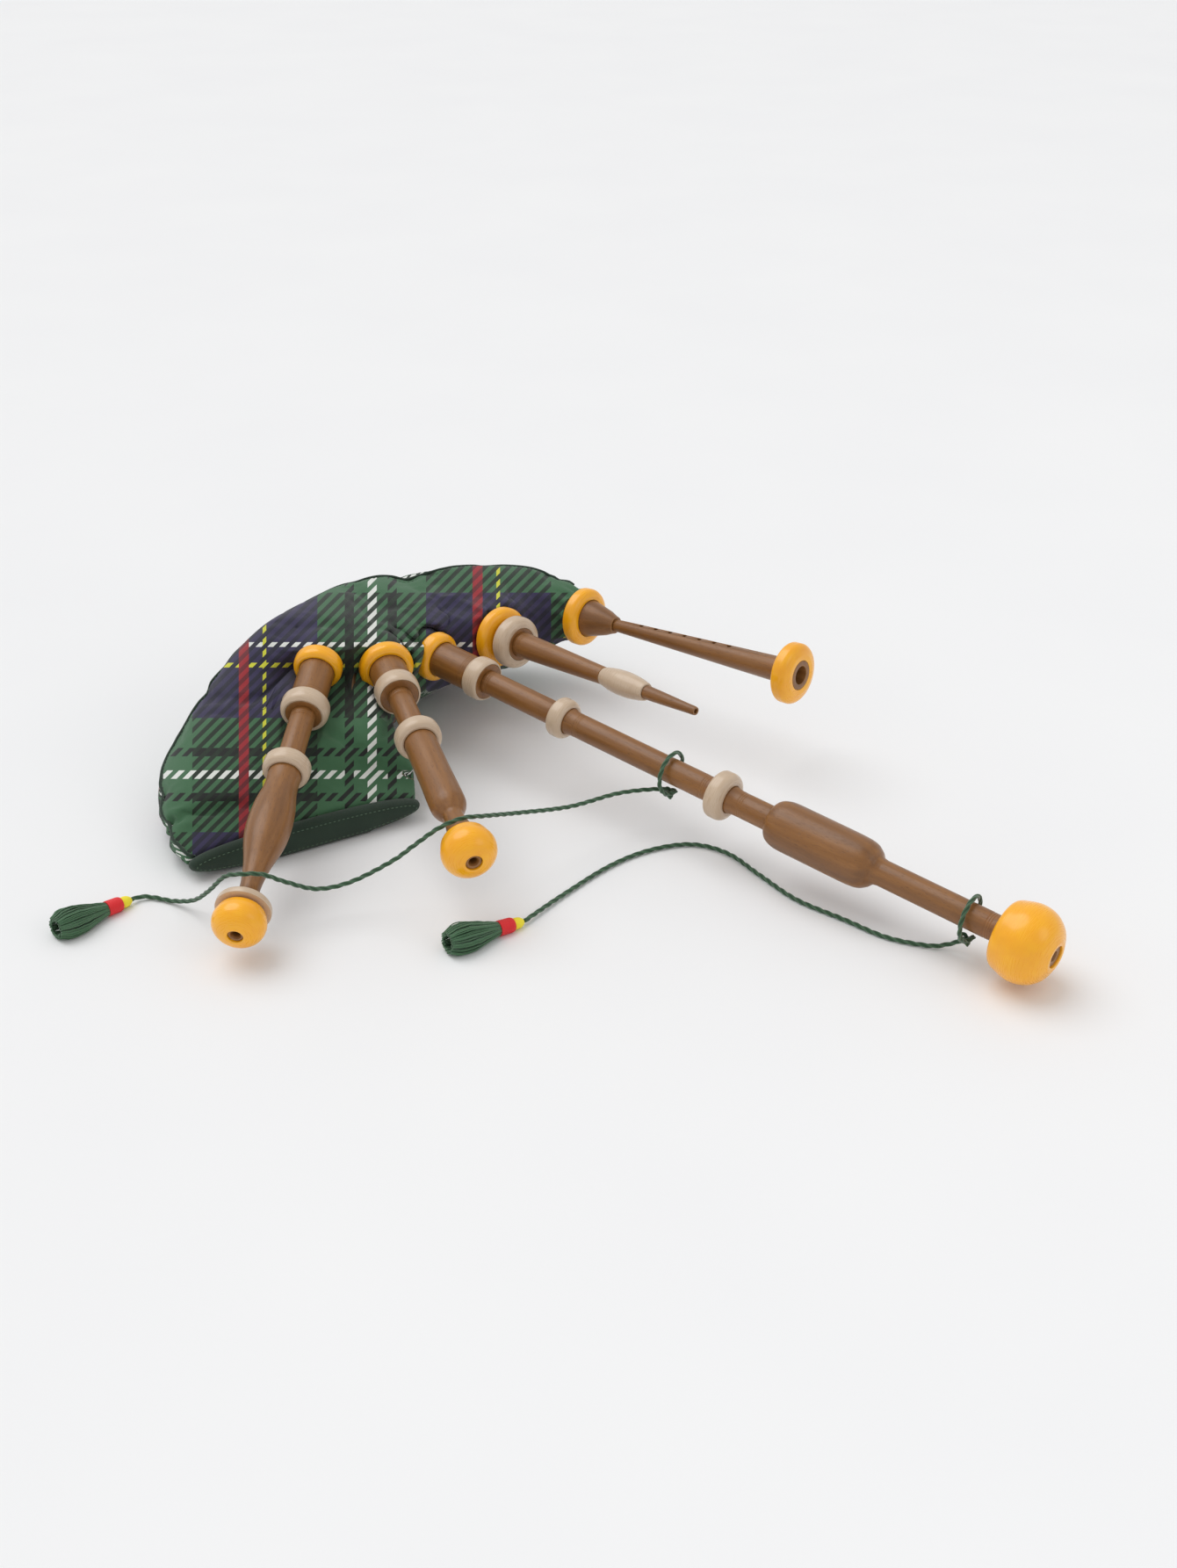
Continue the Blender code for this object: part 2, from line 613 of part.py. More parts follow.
BASS = {
    "name": "bass", "place": BASS_PLACE, "mouth": 0.078,
    "stock_radius": 0.0205, "stock_bore": DRONE_STOCK_BORE, "collar_end": 0.006,
    "collar_wall": 0.0080, "stock_mount_wall": 0.0040,
    "tube_radius": 0.0136, "socket_radius": 0.0150, "bottom_length": 0.1020,
    "middle_length": 0.2185, "middle_mount_wall": 0.0076, "top_mount_wall": 0.0112,
    "bulge_offset": 0.0735, "bulge_length": 0.1260, "bulge_radius": 0.0262, "neck_length": 0.1420,
    "cap_length": 0.0584, "cap_radius": 0.0400, "cap_hole": 0.0115,
}
LEFT_TENOR = {
    "name": "left_tenor", "place": LEFT_TENOR_PLACE, "mouth": 0.079,
    "stock_radius": 0.0195, "stock_bore": DRONE_STOCK_BORE, "collar_end": 0.006,
    "collar_wall": 0.0075, "stock_mount_wall": 0.0070,
    "tube_radius": 0.0133, "socket_radius": 0.0172, "bottom_length": 0.0750,
    "mount_wall": 0.0080, "top_length": 0.2140, "neck_radius": 0.0100,
    "body": ((0.0470, 0.0180), (0.0700, 0.0215), (0.0940, 0.0228), (0.1180, 0.0212), (0.1510, 0.0140),
             (0.1760, 0.0106), (0.1960, 0.0100)),
    "cap_length": 0.0341, "cap_radius": 0.0270, "cap_hole": 0.0078, "washer_width": 0.0100,
}
RIGHT_TENOR = {
    "name": "right_tenor", "place": RIGHT_TENOR_PLACE, "mouth": 0.059,
    "stock_radius": 0.0212, "stock_bore": DRONE_STOCK_BORE, "collar_end": 0.006,
    "collar_wall": 0.0093, "stock_mount_wall": 0.0038,
    "tube_radius": 0.0133, "socket_radius": 0.0176, "bottom_length": 0.0720,
    "mount_wall": 0.0076, "top_length": 0.1940, "neck_radius": 0.0144,
    "body": ((0.0790, 0.0180), (0.1270, 0.0188), (0.1390, 0.0176), (0.1550, 0.0104), (0.1750, 0.0128),
             (0.1910, 0.0144)),
    "cap_length": 0.0379, "cap_radius": 0.0285, "cap_hole": 0.0086,
}
BLOWPIPE = {
    "name": "blowpipe", "place": BLOWPIPE_PLACE, "mouth": 0.032,
    "stock_radius": 0.0190, "stock_bore": BLOWPIPE_STOCK_BORE, "collar_end": 0.006,
    "collar_wall": 0.0160, "stock_mount_wall": 0.0115,
    "tube_radius": 0.0148, "tube_end_radius": 0.0100, "tube_length": 0.1370, "bore": 0.0060,
    "pin_radius": 0.0068, "throat": 0.0042, "bulb_length": 0.0660, "bulb_radius": 0.0142,
    "mouthpiece_length": 0.0746, "mouthpiece_radius": 0.0078, "tip_radius": 0.0050,
}
CHANTER = {
    "name": "chanter", "place": CHANTER_PLACE, "mouth": 0.046,
    "stock_radius": 0.0222, "stock_tip_radius": 0.0100, "stock_bore": CHANTER_STOCK_BORE,
    "collar_end": 0.0065, "collar_wall": 0.0123, "neck_cut_radius": 0.0600,
    "tenon_length": 0.030, "reed_seat_radius": 0.0030, "body_length": 0.2410,
    "top_radius": 0.0072, "low_radius": 0.0145, "end_radius": 0.0165, "bell_bore": 0.0105,
    "sole_width": 0.0214, "sole_wall": 0.0180,
    "holes": 7, "first_hole": 0.039, "hole_spacing": 0.021, "hole_radius": 0.0026,
}


def main():
    clear_scene()
    wood = finish("turned_wood", (138, 97, 56), 0.38)
    ivory = finish("cream_mount", (200, 176, 150), 0.35)
    gold = finish("gold_mount", (251, 173, 22), 0.30)
    cloth = finish("tartan_cloth", (50, 60, 65), 0.85)
    trim_cloth = finish("trim_cloth", (38, 60, 43), 0.90)
    leather = finish("bladder_leather", (120, 90, 60), 0.60)
    cane = finish("reed_cane", (215, 185, 110), 0.50)
    brass = finish("staple_brass", (200, 160, 80), 0.30, 1.0)
    cord = finish("green_cord", (61, 102, 67), 0.80)
    yarns = {
        "yellow": finish("yellow_yarn", (250, 235, 40), 0.80),
        "red": finish("red_yarn", (230, 33, 40), 0.80),
        "green": finish("green_yarn", (61, 102, 67), 0.85),
    }
    pipes = (BASS, LEFT_TENOR, RIGHT_TENOR, BLOWPIPE, CHANTER)
    axes = {pipe["name"]: pipe_axis(pipe["name"] + "_axis", pipe["place"]) for pipe in pipes}
    make_bag(pipes, cloth, leather, trim_cloth)
    for pipe in pipes:
        make_stock(pipe, axes[pipe["name"]], wood, gold, ivory)
    make_bass(BASS, axes["bass"], wood, gold, ivory, cane)
    make_tenor(LEFT_TENOR, axes["left_tenor"], wood, gold, ivory, cane)
    make_tenor(RIGHT_TENOR, axes["right_tenor"], wood, gold, ivory, cane)
    make_blowpipe(BLOWPIPE, axes["blowpipe"], wood, ivory, leather)
    make_chanter(CHANTER, axes["chanter"], wood, gold, brass, cane)
    make_cord("lower_cord", BASS_PLACE, LOWER_CORD_LOOP_T, 150, -340, LOWER_CORD_ROUTE, cord)
    make_cord("upper_cord", BASS_PLACE, UPPER_CORD_LOOP_T, 150, -340, UPPER_CORD_ROUTE, cord)
    make_tassel("lower_tassel", LOWER_CORD_ROUTE[-1], LOWER_TASSEL_HEADING, yarns)
    make_tassel("upper_tassel", UPPER_CORD_ROUTE[-1], UPPER_TASSEL_HEADING, yarns)


main()
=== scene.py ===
"""Bagpipes laid on a table: a tartan bag, three drones, a blowpipe, a chanter and two drone cords.

Metres, +X to the right, +Y away, +Z up, with the table at z = 0. Every pipe is a stack of turned
pieces on one straight axis. Along it t is the distance from where the stock leaves the bag.
"""
import math

import bmesh
import bpy
from mathutils import Matrix, Vector
from mathutils.bvhtree import BVHTree
from mathutils.kdtree import KDTree


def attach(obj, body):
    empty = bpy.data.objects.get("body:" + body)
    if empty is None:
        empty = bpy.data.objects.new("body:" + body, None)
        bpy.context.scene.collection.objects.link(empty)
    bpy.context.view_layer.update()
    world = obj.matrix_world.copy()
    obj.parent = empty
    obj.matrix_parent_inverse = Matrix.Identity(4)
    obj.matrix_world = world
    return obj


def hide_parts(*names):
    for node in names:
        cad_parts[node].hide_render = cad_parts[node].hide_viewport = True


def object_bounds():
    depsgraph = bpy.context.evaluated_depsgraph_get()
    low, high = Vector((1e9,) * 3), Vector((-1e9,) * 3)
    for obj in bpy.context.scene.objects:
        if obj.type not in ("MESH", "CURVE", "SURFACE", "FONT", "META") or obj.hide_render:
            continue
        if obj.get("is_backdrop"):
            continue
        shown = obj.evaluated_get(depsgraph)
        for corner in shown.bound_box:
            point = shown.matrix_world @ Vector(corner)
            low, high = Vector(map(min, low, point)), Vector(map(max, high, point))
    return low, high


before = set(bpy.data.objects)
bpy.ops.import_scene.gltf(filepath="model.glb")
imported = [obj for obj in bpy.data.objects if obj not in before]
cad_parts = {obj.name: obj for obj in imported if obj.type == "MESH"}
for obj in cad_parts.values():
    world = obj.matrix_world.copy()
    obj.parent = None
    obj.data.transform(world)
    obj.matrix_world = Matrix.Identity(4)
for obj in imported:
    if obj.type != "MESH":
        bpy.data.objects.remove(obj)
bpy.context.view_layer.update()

# Camera and studio -------------------------------------------------------------------------------
# A camera looking 30 degrees down on the table, a broad soft light from above and to the left, a
# weaker one from the right, and a pale floor under a pale backdrop.
VIEW_TARGET = Vector((0.0067, -0.0364, 0.05))
VIEW_DISTANCE = 2.05
VIEW_DROP = math.radians(30)
LENS_MM = 43.9


def paint(red, green, blue):
    """A display colour, 0 to 255, as the linear values that a shader takes."""
    values = []
    for part in (red / 255, green / 255, blue / 255):
        values.append(part / 12.92 if part <= 0.04045 else ((part + 0.055) / 1.055) ** 2.4)
    return (*values, 1.0)


def place_in_scene(name, data):
    made = bpy.data.objects.new(name, data)
    bpy.context.scene.collection.objects.link(made)
    return made


def start_material(name, roughness):
    """A new material, its nodes, a function that links them, and its shader."""
    made = bpy.data.materials.new(name)
    made.use_nodes = True
    nodes = made.node_tree.nodes
    shader = nodes["Principled BSDF"]
    shader.inputs["Roughness"].default_value = roughness
    return made, nodes, made.node_tree.links.new, shader


def soft_light(name, place, aim, size, watts):
    data = bpy.data.lights.new(name, "AREA")
    data.shape = "DISK"
    data.size = size
    data.energy = watts
    lamp = place_in_scene(name, data)
    lamp.location = place
    lamp.rotation_euler = (Vector(aim) - Vector(place)).to_track_quat("-Z", "Y").to_euler()


camera = place_in_scene("camera", bpy.data.cameras.new("camera"))
camera.data.lens = LENS_MM
camera.data.clip_end = 50
back_off = Vector((0, -math.cos(VIEW_DROP), math.sin(VIEW_DROP))) * VIEW_DISTANCE
camera.location = VIEW_TARGET + back_off
camera.rotation_euler = (math.pi / 2 - VIEW_DROP, 0, 0)
bpy.context.scene.camera = camera
bpy.context.scene.view_settings.view_transform = "Standard"

sky = bpy.data.lights.new("sky", "SUN")
sky.energy = 1.15
sky.angle = math.radians(50)
sky_lamp = place_in_scene("sky", sky)
sky_lamp.rotation_euler = (math.radians(-14), math.radians(-24), 0)
soft_light("right_fill", (3.4, -2.0, 2.4), (0.1, 0, 0), 2.4, 12)
studio = bpy.data.worlds.new("studio")
studio.use_nodes = True
studio.node_tree.nodes["Background"].inputs["Color"].default_value = (0.90, 0.905, 0.91, 1)
studio.node_tree.nodes["Background"].inputs["Strength"].default_value = 0.74
bpy.context.scene.world = studio

floor_mesh = bpy.data.meshes.new("floor")
floor_mesh.from_pydata([(-9, -9, 0), (9, -9, 0), (9, 9, 0), (-9, 9, 0)], [], [(0, 1, 2, 3)])
floor = place_in_scene("floor", floor_mesh)
floor_paint, nodes, link, shader = start_material("floor_paint", 0.75)
mottle = nodes.new("ShaderNodeTexNoise")
mottle.inputs["Scale"].default_value = 3.0
tint = nodes.new("ShaderNodeMix")
tint.data_type = "RGBA"
tint.inputs["A"].default_value = paint(243, 243, 243)
tint.inputs["B"].default_value = paint(239, 239, 240)
where = nodes.new("ShaderNodeTexCoord")
link(where.outputs["Object"], mottle.inputs["Vector"])
link(mottle.outputs["Fac"], tint.inputs["Factor"])
link(tint.outputs["Result"], shader.inputs["Base Color"])
floor_mesh.materials.append(floor_paint)
floor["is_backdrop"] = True

# Drone cords -------------------------------------------------------------------------------------
# Two soft cords of three twisted silk strands. Each is looped once round the bass drone, knotted
# under it, and then trails to its own tassel, over the tenors or across the table.
BASS_BASE = Vector((-0.1657, 0.1643, 0.102))
BASS_HEADING = -40.17
BASS_RISE = -4.17
CORD_RADIUS = 0.0025
STRANDS = 3
STRAND_SIDES = 6
STRAND_LAY = 0.0115
STRAND_OFFSET = 1.155
GROOVE_FLOOR = 0.66
CORD_STEP = 0.0016
LOOP_RADIUS = 0.0225
LOOP_SLACK = 0.0030
LOOP_FIRST = 150
LOOP_TURN = -340
LOOP_POINTS = 12
LOOP_PITCH = 0.010
LOWER_LOOP_T = 0.341
UPPER_LOOP_T = 0.706
LOWER_ROUTE = (
    (0.0787, -0.0474, 0.050), (0.0377, -0.0634, 0.054), (-0.0123, -0.1024, 0.061),
    (-0.0613, -0.1464, 0.080), (-0.0943, -0.1844, 0.099), (-0.1173, -0.2034, 0.1075),
    (-0.1403, -0.2134, 0.102), (-0.1643, -0.2134, 0.083), (-0.1883, -0.2104, 0.062),
    (-0.2293, -0.2134, 0.040), (-0.2623, -0.2234, 0.038), (-0.2903, -0.2384, 0.056),
    (-0.3093, -0.2504, 0.0722), (-0.3273, -0.2574, 0.0772), (-0.3463, -0.2504, 0.0700),
    (-0.3673, -0.2324, 0.042), (-0.3883, -0.2114, 0.017), (-0.4133, -0.1944, 0.0045),
    (-0.4343, -0.1864, 0.0034), (-0.4468, -0.1864, 0.0044), (-0.4558, -0.1929, 0.0055),
)
UPPER_ROUTE = (
    (0.3567, -0.2754, 0.0075), (0.3377, -0.2714, 0.0034), (0.2997, -0.2564, 0.0030),
    (0.2617, -0.2254, 0.0030), (0.2177, -0.1894, 0.0030), (0.1847, -0.1444, 0.0030),
    (0.1537, -0.1014, 0.0030), (0.1167, -0.0834, 0.0030), (0.0727, -0.0944, 0.0030),
    (0.0297, -0.1254, 0.0030), (-0.0183, -0.1804, 0.0034), (-0.0573, -0.2324, 0.0055),
)
KNOT_SIZE = 0.0021
KNOT_DROP = 0.002625
KNOT_CORD_RADIUS = 0.0021
KNOT_POINTS = 60
CORD_GREEN = (66, 106, 72)
# CORD_SHADE is the silk's darker streaks and also the painted shade in the hollows between strands
CORD_SHADE = (30, 56, 36)


def smooth_path(route, spacing):
    """Points about a spacing apart on the smooth curve through a route's own points."""
    points = [Vector(point) for point in route]
    ends = [points[0] * 2 - points[1]] + points + [points[-1] * 2 - points[-2]]
    path = []
    for before, start, end, after in zip(ends, ends[1:], ends[2:], ends[3:]):
        steps = max(1, round((end - start).length / spacing))
        for step in range(steps):
            s = step / steps
            path.append(0.5 * (2 * start + (end - before) * s
                               + (2 * before - 5 * start + 4 * end - after) * s ** 2
                               + (3 * start - before - 3 * end + after) * s ** 3))
    path.append(points[-1])
    return path


def cross_frames(path, closed=False):
    """Two directions across a path at each of its points, turning as little as they can."""
    count = len(path)
    frames = []
    side = None
    for index in range(count):
        if closed:
            ahead = path[(index + 1) % count] - path[index - 1]
        else:
            ahead = path[min(index + 1, count - 1)] - path[max(index - 1, 0)]
        ahead.normalize()
        if side is None:
            side = ahead.orthogonal()
        side = (side - ahead * side.dot(ahead)).normalized()
        frames.append((side.copy(), ahead.cross(side)))
    return frames


def mesh_of(name, points, faces, smooth=True):
    mesh = bpy.data.meshes.new(name)
    mesh.from_pydata([tuple(point) for point in points], [], faces)
    if smooth:
        mesh.shade_smooth()
    return mesh


def twisted_tube(name, path, radius, closed=False):
    """A tube of twisted strands, with UVs in metres and an attribute that is 1 between strands."""
    sides = STRANDS * STRAND_SIDES
    strand = radius / (1 + STRAND_OFFSET)
    reach = strand * STRAND_OFFSET
    points = []
    hollows = []
    runs = [0.0]
    for before, after in zip(path, path[1:]):
        runs.append(runs[-1] + (after - before).length)
    frames = cross_frames(path, closed)
    turns = runs[-1] / STRAND_LAY
    for (side, up), centre, run in zip(frames, path, runs):
        twist = math.tau * (round(turns) * run / runs[-1] if closed else run / STRAND_LAY) / STRANDS
        for step in range(sides):
            angle = math.tau * step / sides
            from_crown = (angle + math.pi / STRANDS) % (math.tau / STRANDS) - math.pi / STRANDS
            inside = max(strand ** 2 - (reach * math.sin(from_crown)) ** 2, 0.0)
            size = max(reach * math.cos(from_crown) + math.sqrt(inside), radius * GROOVE_FLOOR)
            points.append(centre + (side * math.cos(angle + twist) + up * math.sin(angle + twist)) * size)
            hollows.append(min(1.0, (radius - size) / (radius * (1 - GROOVE_FLOOR))))
    faces = []
    rings = len(path)
    for ring in range(rings if closed else rings - 1):
        near = ring * sides
        far = (ring + 1) % rings * sides
        for step in range(sides):
            after = (step + 1) % sides
            faces.append((near + step, near + after, far + after, far + step))
    if not closed:
        faces.append(tuple(reversed(range(sides))))
        faces.append(tuple(range((rings - 1) * sides, rings * sides)))
    mesh = mesh_of(name, points, faces)
    hollow = mesh.attributes.new("hollow", "FLOAT", "POINT")
    hollow.data.foreach_set("value", hollows)
    layer = mesh.uv_layers.new(name="thread")
    for polygon in mesh.polygons:
        for corner, vertex in zip(polygon.loop_indices, polygon.vertices):
            layer.data[corner].uv = ((vertex % sides) / sides, runs[vertex // sides])
    return mesh


def add_socket(tree, name, kind, default=None, output=False):
    socket = tree.interface.new_socket(name, in_out="OUTPUT" if output else "INPUT",
                                       socket_type="NodeSocket" + kind)
    if default is not None:
        socket.default_value = default
    return socket


def math_node(nodes, link, operation, first, second=None, third=None):
    """One Math node. Each input is another node's output or a number."""
    made = nodes.new("ShaderNodeMath")
    made.operation = operation
    for socket, value in zip(made.inputs, (first, second, third)):
        if isinstance(value, (int, float)):
            socket.default_value = value
        elif value is not None:
            link(value, socket)
    return made.outputs[0]


def colour_mix(nodes, link, factor, first, second):
    """One colour Mix node. Each input is another node's output or a value."""
    made = nodes.new("ShaderNodeMix")
    made.data_type = "RGBA"
    for socket, value in zip((made.inputs["Factor"], made.inputs["A"], made.inputs["B"]),
                             (factor, first, second)):
        if isinstance(value, bpy.types.NodeSocket):
            link(value, socket)
        else:
            socket.default_value = value
    return made.outputs["Result"]


# Fine fibre for the cords, the yarns and the hemp: streaks along the thread, and painted shade in the hollows
fibre = bpy.data.node_groups.new("fibre", "ShaderNodeTree")
add_socket(fibre, "Vector", "Vector")
add_socket(fibre, "Hollow", "Float", 0.0)
add_socket(fibre, "Scale", "Float", 900.0)
add_socket(fibre, "Light", "Color", (0.8, 0.8, 0.8, 1))
add_socket(fibre, "Dark", "Color", (0.2, 0.2, 0.2, 1))
add_socket(fibre, "Color", "Color", output=True)
add_socket(fibre, "Roughness", "Float", output=True)
add_socket(fibre, "Height", "Float", output=True)
nodes = fibre.nodes
link = fibre.links.new
given = nodes.new("NodeGroupInput")
result = nodes.new("NodeGroupOutput")
streak = nodes.new("ShaderNodeTexNoise")
streak.inputs["Detail"].default_value = 3.0
link(given.outputs["Vector"], streak.inputs["Vector"])
link(given.outputs["Scale"], streak.inputs["Scale"])
patch = nodes.new("ShaderNodeTexNoise")
patch.inputs["Scale"].default_value = 26.0
link(given.outputs["Vector"], patch.inputs["Vector"])
# The hollows between strands pull the colour towards Dark: painted shade, added to the fibre's streaks and
# patches
depth = math_node(nodes, link, "MULTIPLY", given.outputs["Hollow"], 0.75)
streaks_and_hollow_shade = math_node(nodes, link, "MULTIPLY_ADD", streak.outputs["Fac"], 0.55, depth)
streaks_and_hollow_shade = math_node(nodes, link, "MULTIPLY_ADD", patch.outputs["Fac"], 0.25, streaks_and_hollow_shade)
shade = math_node(nodes, link, "SUBTRACT", streaks_and_hollow_shade, 0.30)
shade.node.use_clamp = True
link(colour_mix(nodes, link, shade, given.outputs["Light"], given.outputs["Dark"]), result.inputs["Color"])
link(math_node(nodes, link, "MULTIPLY_ADD", shade, 0.25, 0.58), result.inputs["Roughness"])
link(math_node(nodes, link, "SUBTRACT", streak.outputs["Fac"], depth), result.inputs["Height"])


def thread_material(name, light, dark, scale, depth, sheen=0.3):
    """Yarn, silk or hemp: fibre colour, painted shade between strands, a soft sheen, and fine relief."""
    made, nodes, link, shader = start_material(name, 0.7)
    where = nodes.new("ShaderNodeTexCoord")
    hollow = nodes.new("ShaderNodeAttribute")
    hollow.attribute_name = "hollow"
    threads = nodes.new("ShaderNodeGroup")
    threads.node_tree = fibre
    threads.inputs["Scale"].default_value = scale
    threads.inputs["Light"].default_value = paint(*light)
    threads.inputs["Dark"].default_value = paint(*dark)
    link(where.outputs["Object"], threads.inputs["Vector"])
    link(hollow.outputs["Fac"], threads.inputs["Hollow"])
    link(threads.outputs["Color"], shader.inputs["Base Color"])
    link(threads.outputs["Roughness"], shader.inputs["Roughness"])
    relief = nodes.new("ShaderNodeBump")
    relief.inputs["Distance"].default_value = depth
    relief.inputs["Strength"].default_value = 0.6
    link(threads.outputs["Height"], relief.inputs["Height"])
    link(relief.outputs["Normal"], shader.inputs["Normal"])
    shader.inputs["Sheen Weight"].default_value = sheen
    shader.inputs["Sheen Roughness"].default_value = 0.4
    return made


heading = math.radians(BASS_HEADING)
rise = math.radians(BASS_RISE)
bass_out = Vector((math.cos(rise) * math.cos(heading), math.cos(rise) * math.sin(heading), math.sin(rise)))
bass_side = Vector((0, 0, 1)).cross(bass_out).normalized()
bass_up = bass_out.cross(bass_side)
cord_silk = thread_material("cord_silk", CORD_GREEN, CORD_SHADE, 1400.0, 0.0004, 0.5)
cords = {}


def loop_points(distance):
    """Points of a cord's loop round the bass drone, from under it and back to there."""
    points = []
    for step in range(LOOP_POINTS):
        s = step / (LOOP_POINTS - 1)
        angle = math.radians(LOOP_FIRST + LOOP_TURN * s)
        across = bass_side * math.sin(angle) + bass_up * math.cos(angle)
        along = bass_out * LOOP_PITCH * (s - 0.5)
        points.append(BASS_BASE + bass_out * distance - bass_up * LOOP_SLACK + along + across * LOOP_RADIUS)
    return points


for name, distance, route in (("lower", LOWER_LOOP_T, LOWER_ROUTE), ("upper", UPPER_LOOP_T, UPPER_ROUTE)):
    path = smooth_path([tuple(point) for point in loop_points(distance)] + list(route), CORD_STEP)
    cord = place_in_scene(name + "_drone_cord", twisted_tube(name + "_drone_cord", path, CORD_RADIUS))
    cord.data.materials.append(cord_silk)
    middle = BASS_BASE + bass_out * distance - bass_up * (LOOP_RADIUS + LOOP_SLACK + KNOT_DROP)
    knot_path = []
    for step in range(KNOT_POINTS):
        s = math.tau * step / KNOT_POINTS
        knot_path.append(middle + (bass_side * (math.sin(s) + 2 * math.sin(2 * s))
                                   + bass_out * (math.cos(s) - 2 * math.cos(2 * s))
                                   - bass_up * math.sin(3 * s) * 1.3) * KNOT_SIZE)
    knot_mesh = twisted_tube(name + "_cord_knot", knot_path, KNOT_CORD_RADIUS, True)
    knot = place_in_scene(name + "_cord_knot", knot_mesh)
    knot.data.materials.append(cord_silk)
    cords[name] = (cord, knot, path)

# Tassels -----------------------------------------------------------------------------------------
# One at the end of each cord: a yellow wrapped bead, a red binding wound with yarn, and a skirt of
# loose green threads over a soft core.
TASSEL_HEADINGS = {"lower": -134.0, "upper": -146.0}
TASSEL_RISE = 5.0
SEAT = 0.0003
BEAD_LENGTH = 0.0115
BINDING_LENGTH = 0.017
SKIRT_OUTLINE = ((0.0, 0.0072), (0.014, 0.0112), (0.036, 0.0166), (0.050, 0.0160), (0.058, 0.0105))
WRAP_PITCH = 0.00105
WRAP_DEPTH = 0.00030
SKIRT_STRANDS = 190
STRAND_RADIUS = 0.00058


def pipe_matrix(base, heading, rise):
    """The place of a straight piece whose own +Z runs out along a heading and a rise, in degrees."""
    heading = math.radians(heading)
    rise = math.radians(rise)
    out = Vector((math.cos(rise) * math.cos(heading), math.cos(rise) * math.sin(heading), math.sin(rise)))
    return Matrix.Translation(base) @ out.to_track_quat("Z", "Y").to_matrix().to_4x4()


def eased(outline, size):
    """A closed outline of (t, radius) with its corners rounded, and how worn each point gets."""
    loop = [Vector(point) for point in outline]
    result = []
    for before, corner, after in zip(loop[-1:] + loop, loop, loop[1:] + loop[:1]):
        back = before - corner
        on = after - corner
        if min(back.length, on.length) < 1e-7:
            continue
        turn = math.pi - abs(back.angle(on))
        if turn < math.radians(9) or corner.y < 1e-6:
            result.append((corner, 0.0))
            continue
        reach = min(size, 0.42 * back.length, 0.42 * on.length)
        first = corner + back.normalized() * reach
        last = corner + on.normalized() * reach
        convex = back.x * on.y - back.y * on.x > 0
        for s in (0.0, 0.33, 0.67, 1.0):
            point = first * (1 - s) ** 2 + corner * 2 * s * (1 - s) + last * s ** 2
            result.append((point, 1.0 if convex and 0 < s < 1 and turn > 0.5 else 0.0))
    return result


def lathe(name, outside, inside, place, corner=0.0006, steps=56, offset=0.0):
    """A turned piece. Both outlines are (t, radius) from low t to high t; no inside makes it solid.

    Its "grain" attribute is its own lathe-turned place, and "edge" is 1 on its outer corners."""
    outline = list(outside)
    if inside:
        outline += list(reversed(inside))
    else:
        outline = [(outside[0][0], 0.0)] + outline + [(outside[-1][0], 0.0)]
    profile = eased(outline, corner)
    points = []
    worn = []
    rings = []
    for spot, edge in profile:
        if spot.y < 1e-6:
            rings.append([len(points)])
            points.append(Vector((0, 0, spot.x)))
            worn.append(edge)
            continue
        rings.append(list(range(len(points), len(points) + steps)))
        for step in range(steps):
            angle = math.tau * step / steps
            points.append(Vector((spot.y * math.cos(angle), spot.y * math.sin(angle), spot.x)))
            worn.append(edge)
    faces = []
    pairs = list(zip(rings, rings[1:]))
    if inside:
        pairs.append((rings[-1], rings[0]))
    for near, far in pairs:
        for step in range(steps):
            after = (step + 1) % steps
            if len(near) == 1:
                faces.append((near[0], far[after], far[step]))
            elif len(far) == 1:
                faces.append((near[step], near[after], far[0]))
            else:
                faces.append((near[step], near[after], far[after], far[step]))
    mesh = mesh_of(name, points, faces)
    grain = mesh.attributes.new("grain", "FLOAT_VECTOR", "POINT")
    places = [part for point in points for part in (point.x, point.y, point.z + offset)]
    grain.data.foreach_set("vector", places)
    edges = mesh.attributes.new("edge", "FLOAT", "POINT")
    edges.data.foreach_set("value", worn)
    mesh.transform(place)
    mesh.set_sharp_from_angle(angle=math.radians(40))
    return place_in_scene(name, mesh)


def ridged(outline, pitch, depth):
    """An outline of (t, radius) with a fine round ridge every pitch along it."""
    path = smooth_path([(t, radius, 0) for t, radius in outline], pitch / 6)
    start = path[0].x
    return [(point.x, point.y - depth * (0.5 + 0.5 * math.cos(math.tau * (point.x - start) / pitch)))
            for point in path]


def made_node(nodes, link, kind, **values):
    """A node of a kind. Each input that is named is another node's output or a value."""
    made = nodes.new(kind)
    for name, value in values.items():
        socket = made.inputs[name]
        if isinstance(value, bpy.types.NodeSocket):
            link(value, socket)
        else:
            socket.default_value = value
    return made


# Copies of one strand set round an axis, each a little different in reach, turn and waviness
threads_tree = bpy.data.node_groups.new("hanging_threads", "GeometryNodeTree")
add_socket(threads_tree, "Geometry", "Geometry")
count_socket = add_socket(threads_tree, "Strands", "Int", 100)
thick_socket = add_socket(threads_tree, "Thickness", "Float", 0.0005)
wave_socket = add_socket(threads_tree, "Waviness", "Float", 0.0012)
seed_socket = add_socket(threads_tree, "Seed", "Int", 1)
yarn_socket = add_socket(threads_tree, "Yarn", "Material")
add_socket(threads_tree, "Geometry", "Geometry", output=True)
nodes = threads_tree.nodes
link = threads_tree.links.new
given = nodes.new("NodeGroupInput").outputs
spots = nodes.new("GeometryNodePoints")
link(given["Strands"], spots.inputs["Count"])
strand_curve = nodes.new("GeometryNodeMeshToCurve")
link(given["Geometry"], strand_curve.inputs["Mesh"])
index = nodes.new("GeometryNodeInputIndex").outputs["Index"]
turn = math_node(nodes, link, "MULTIPLY", index, 2.39996)
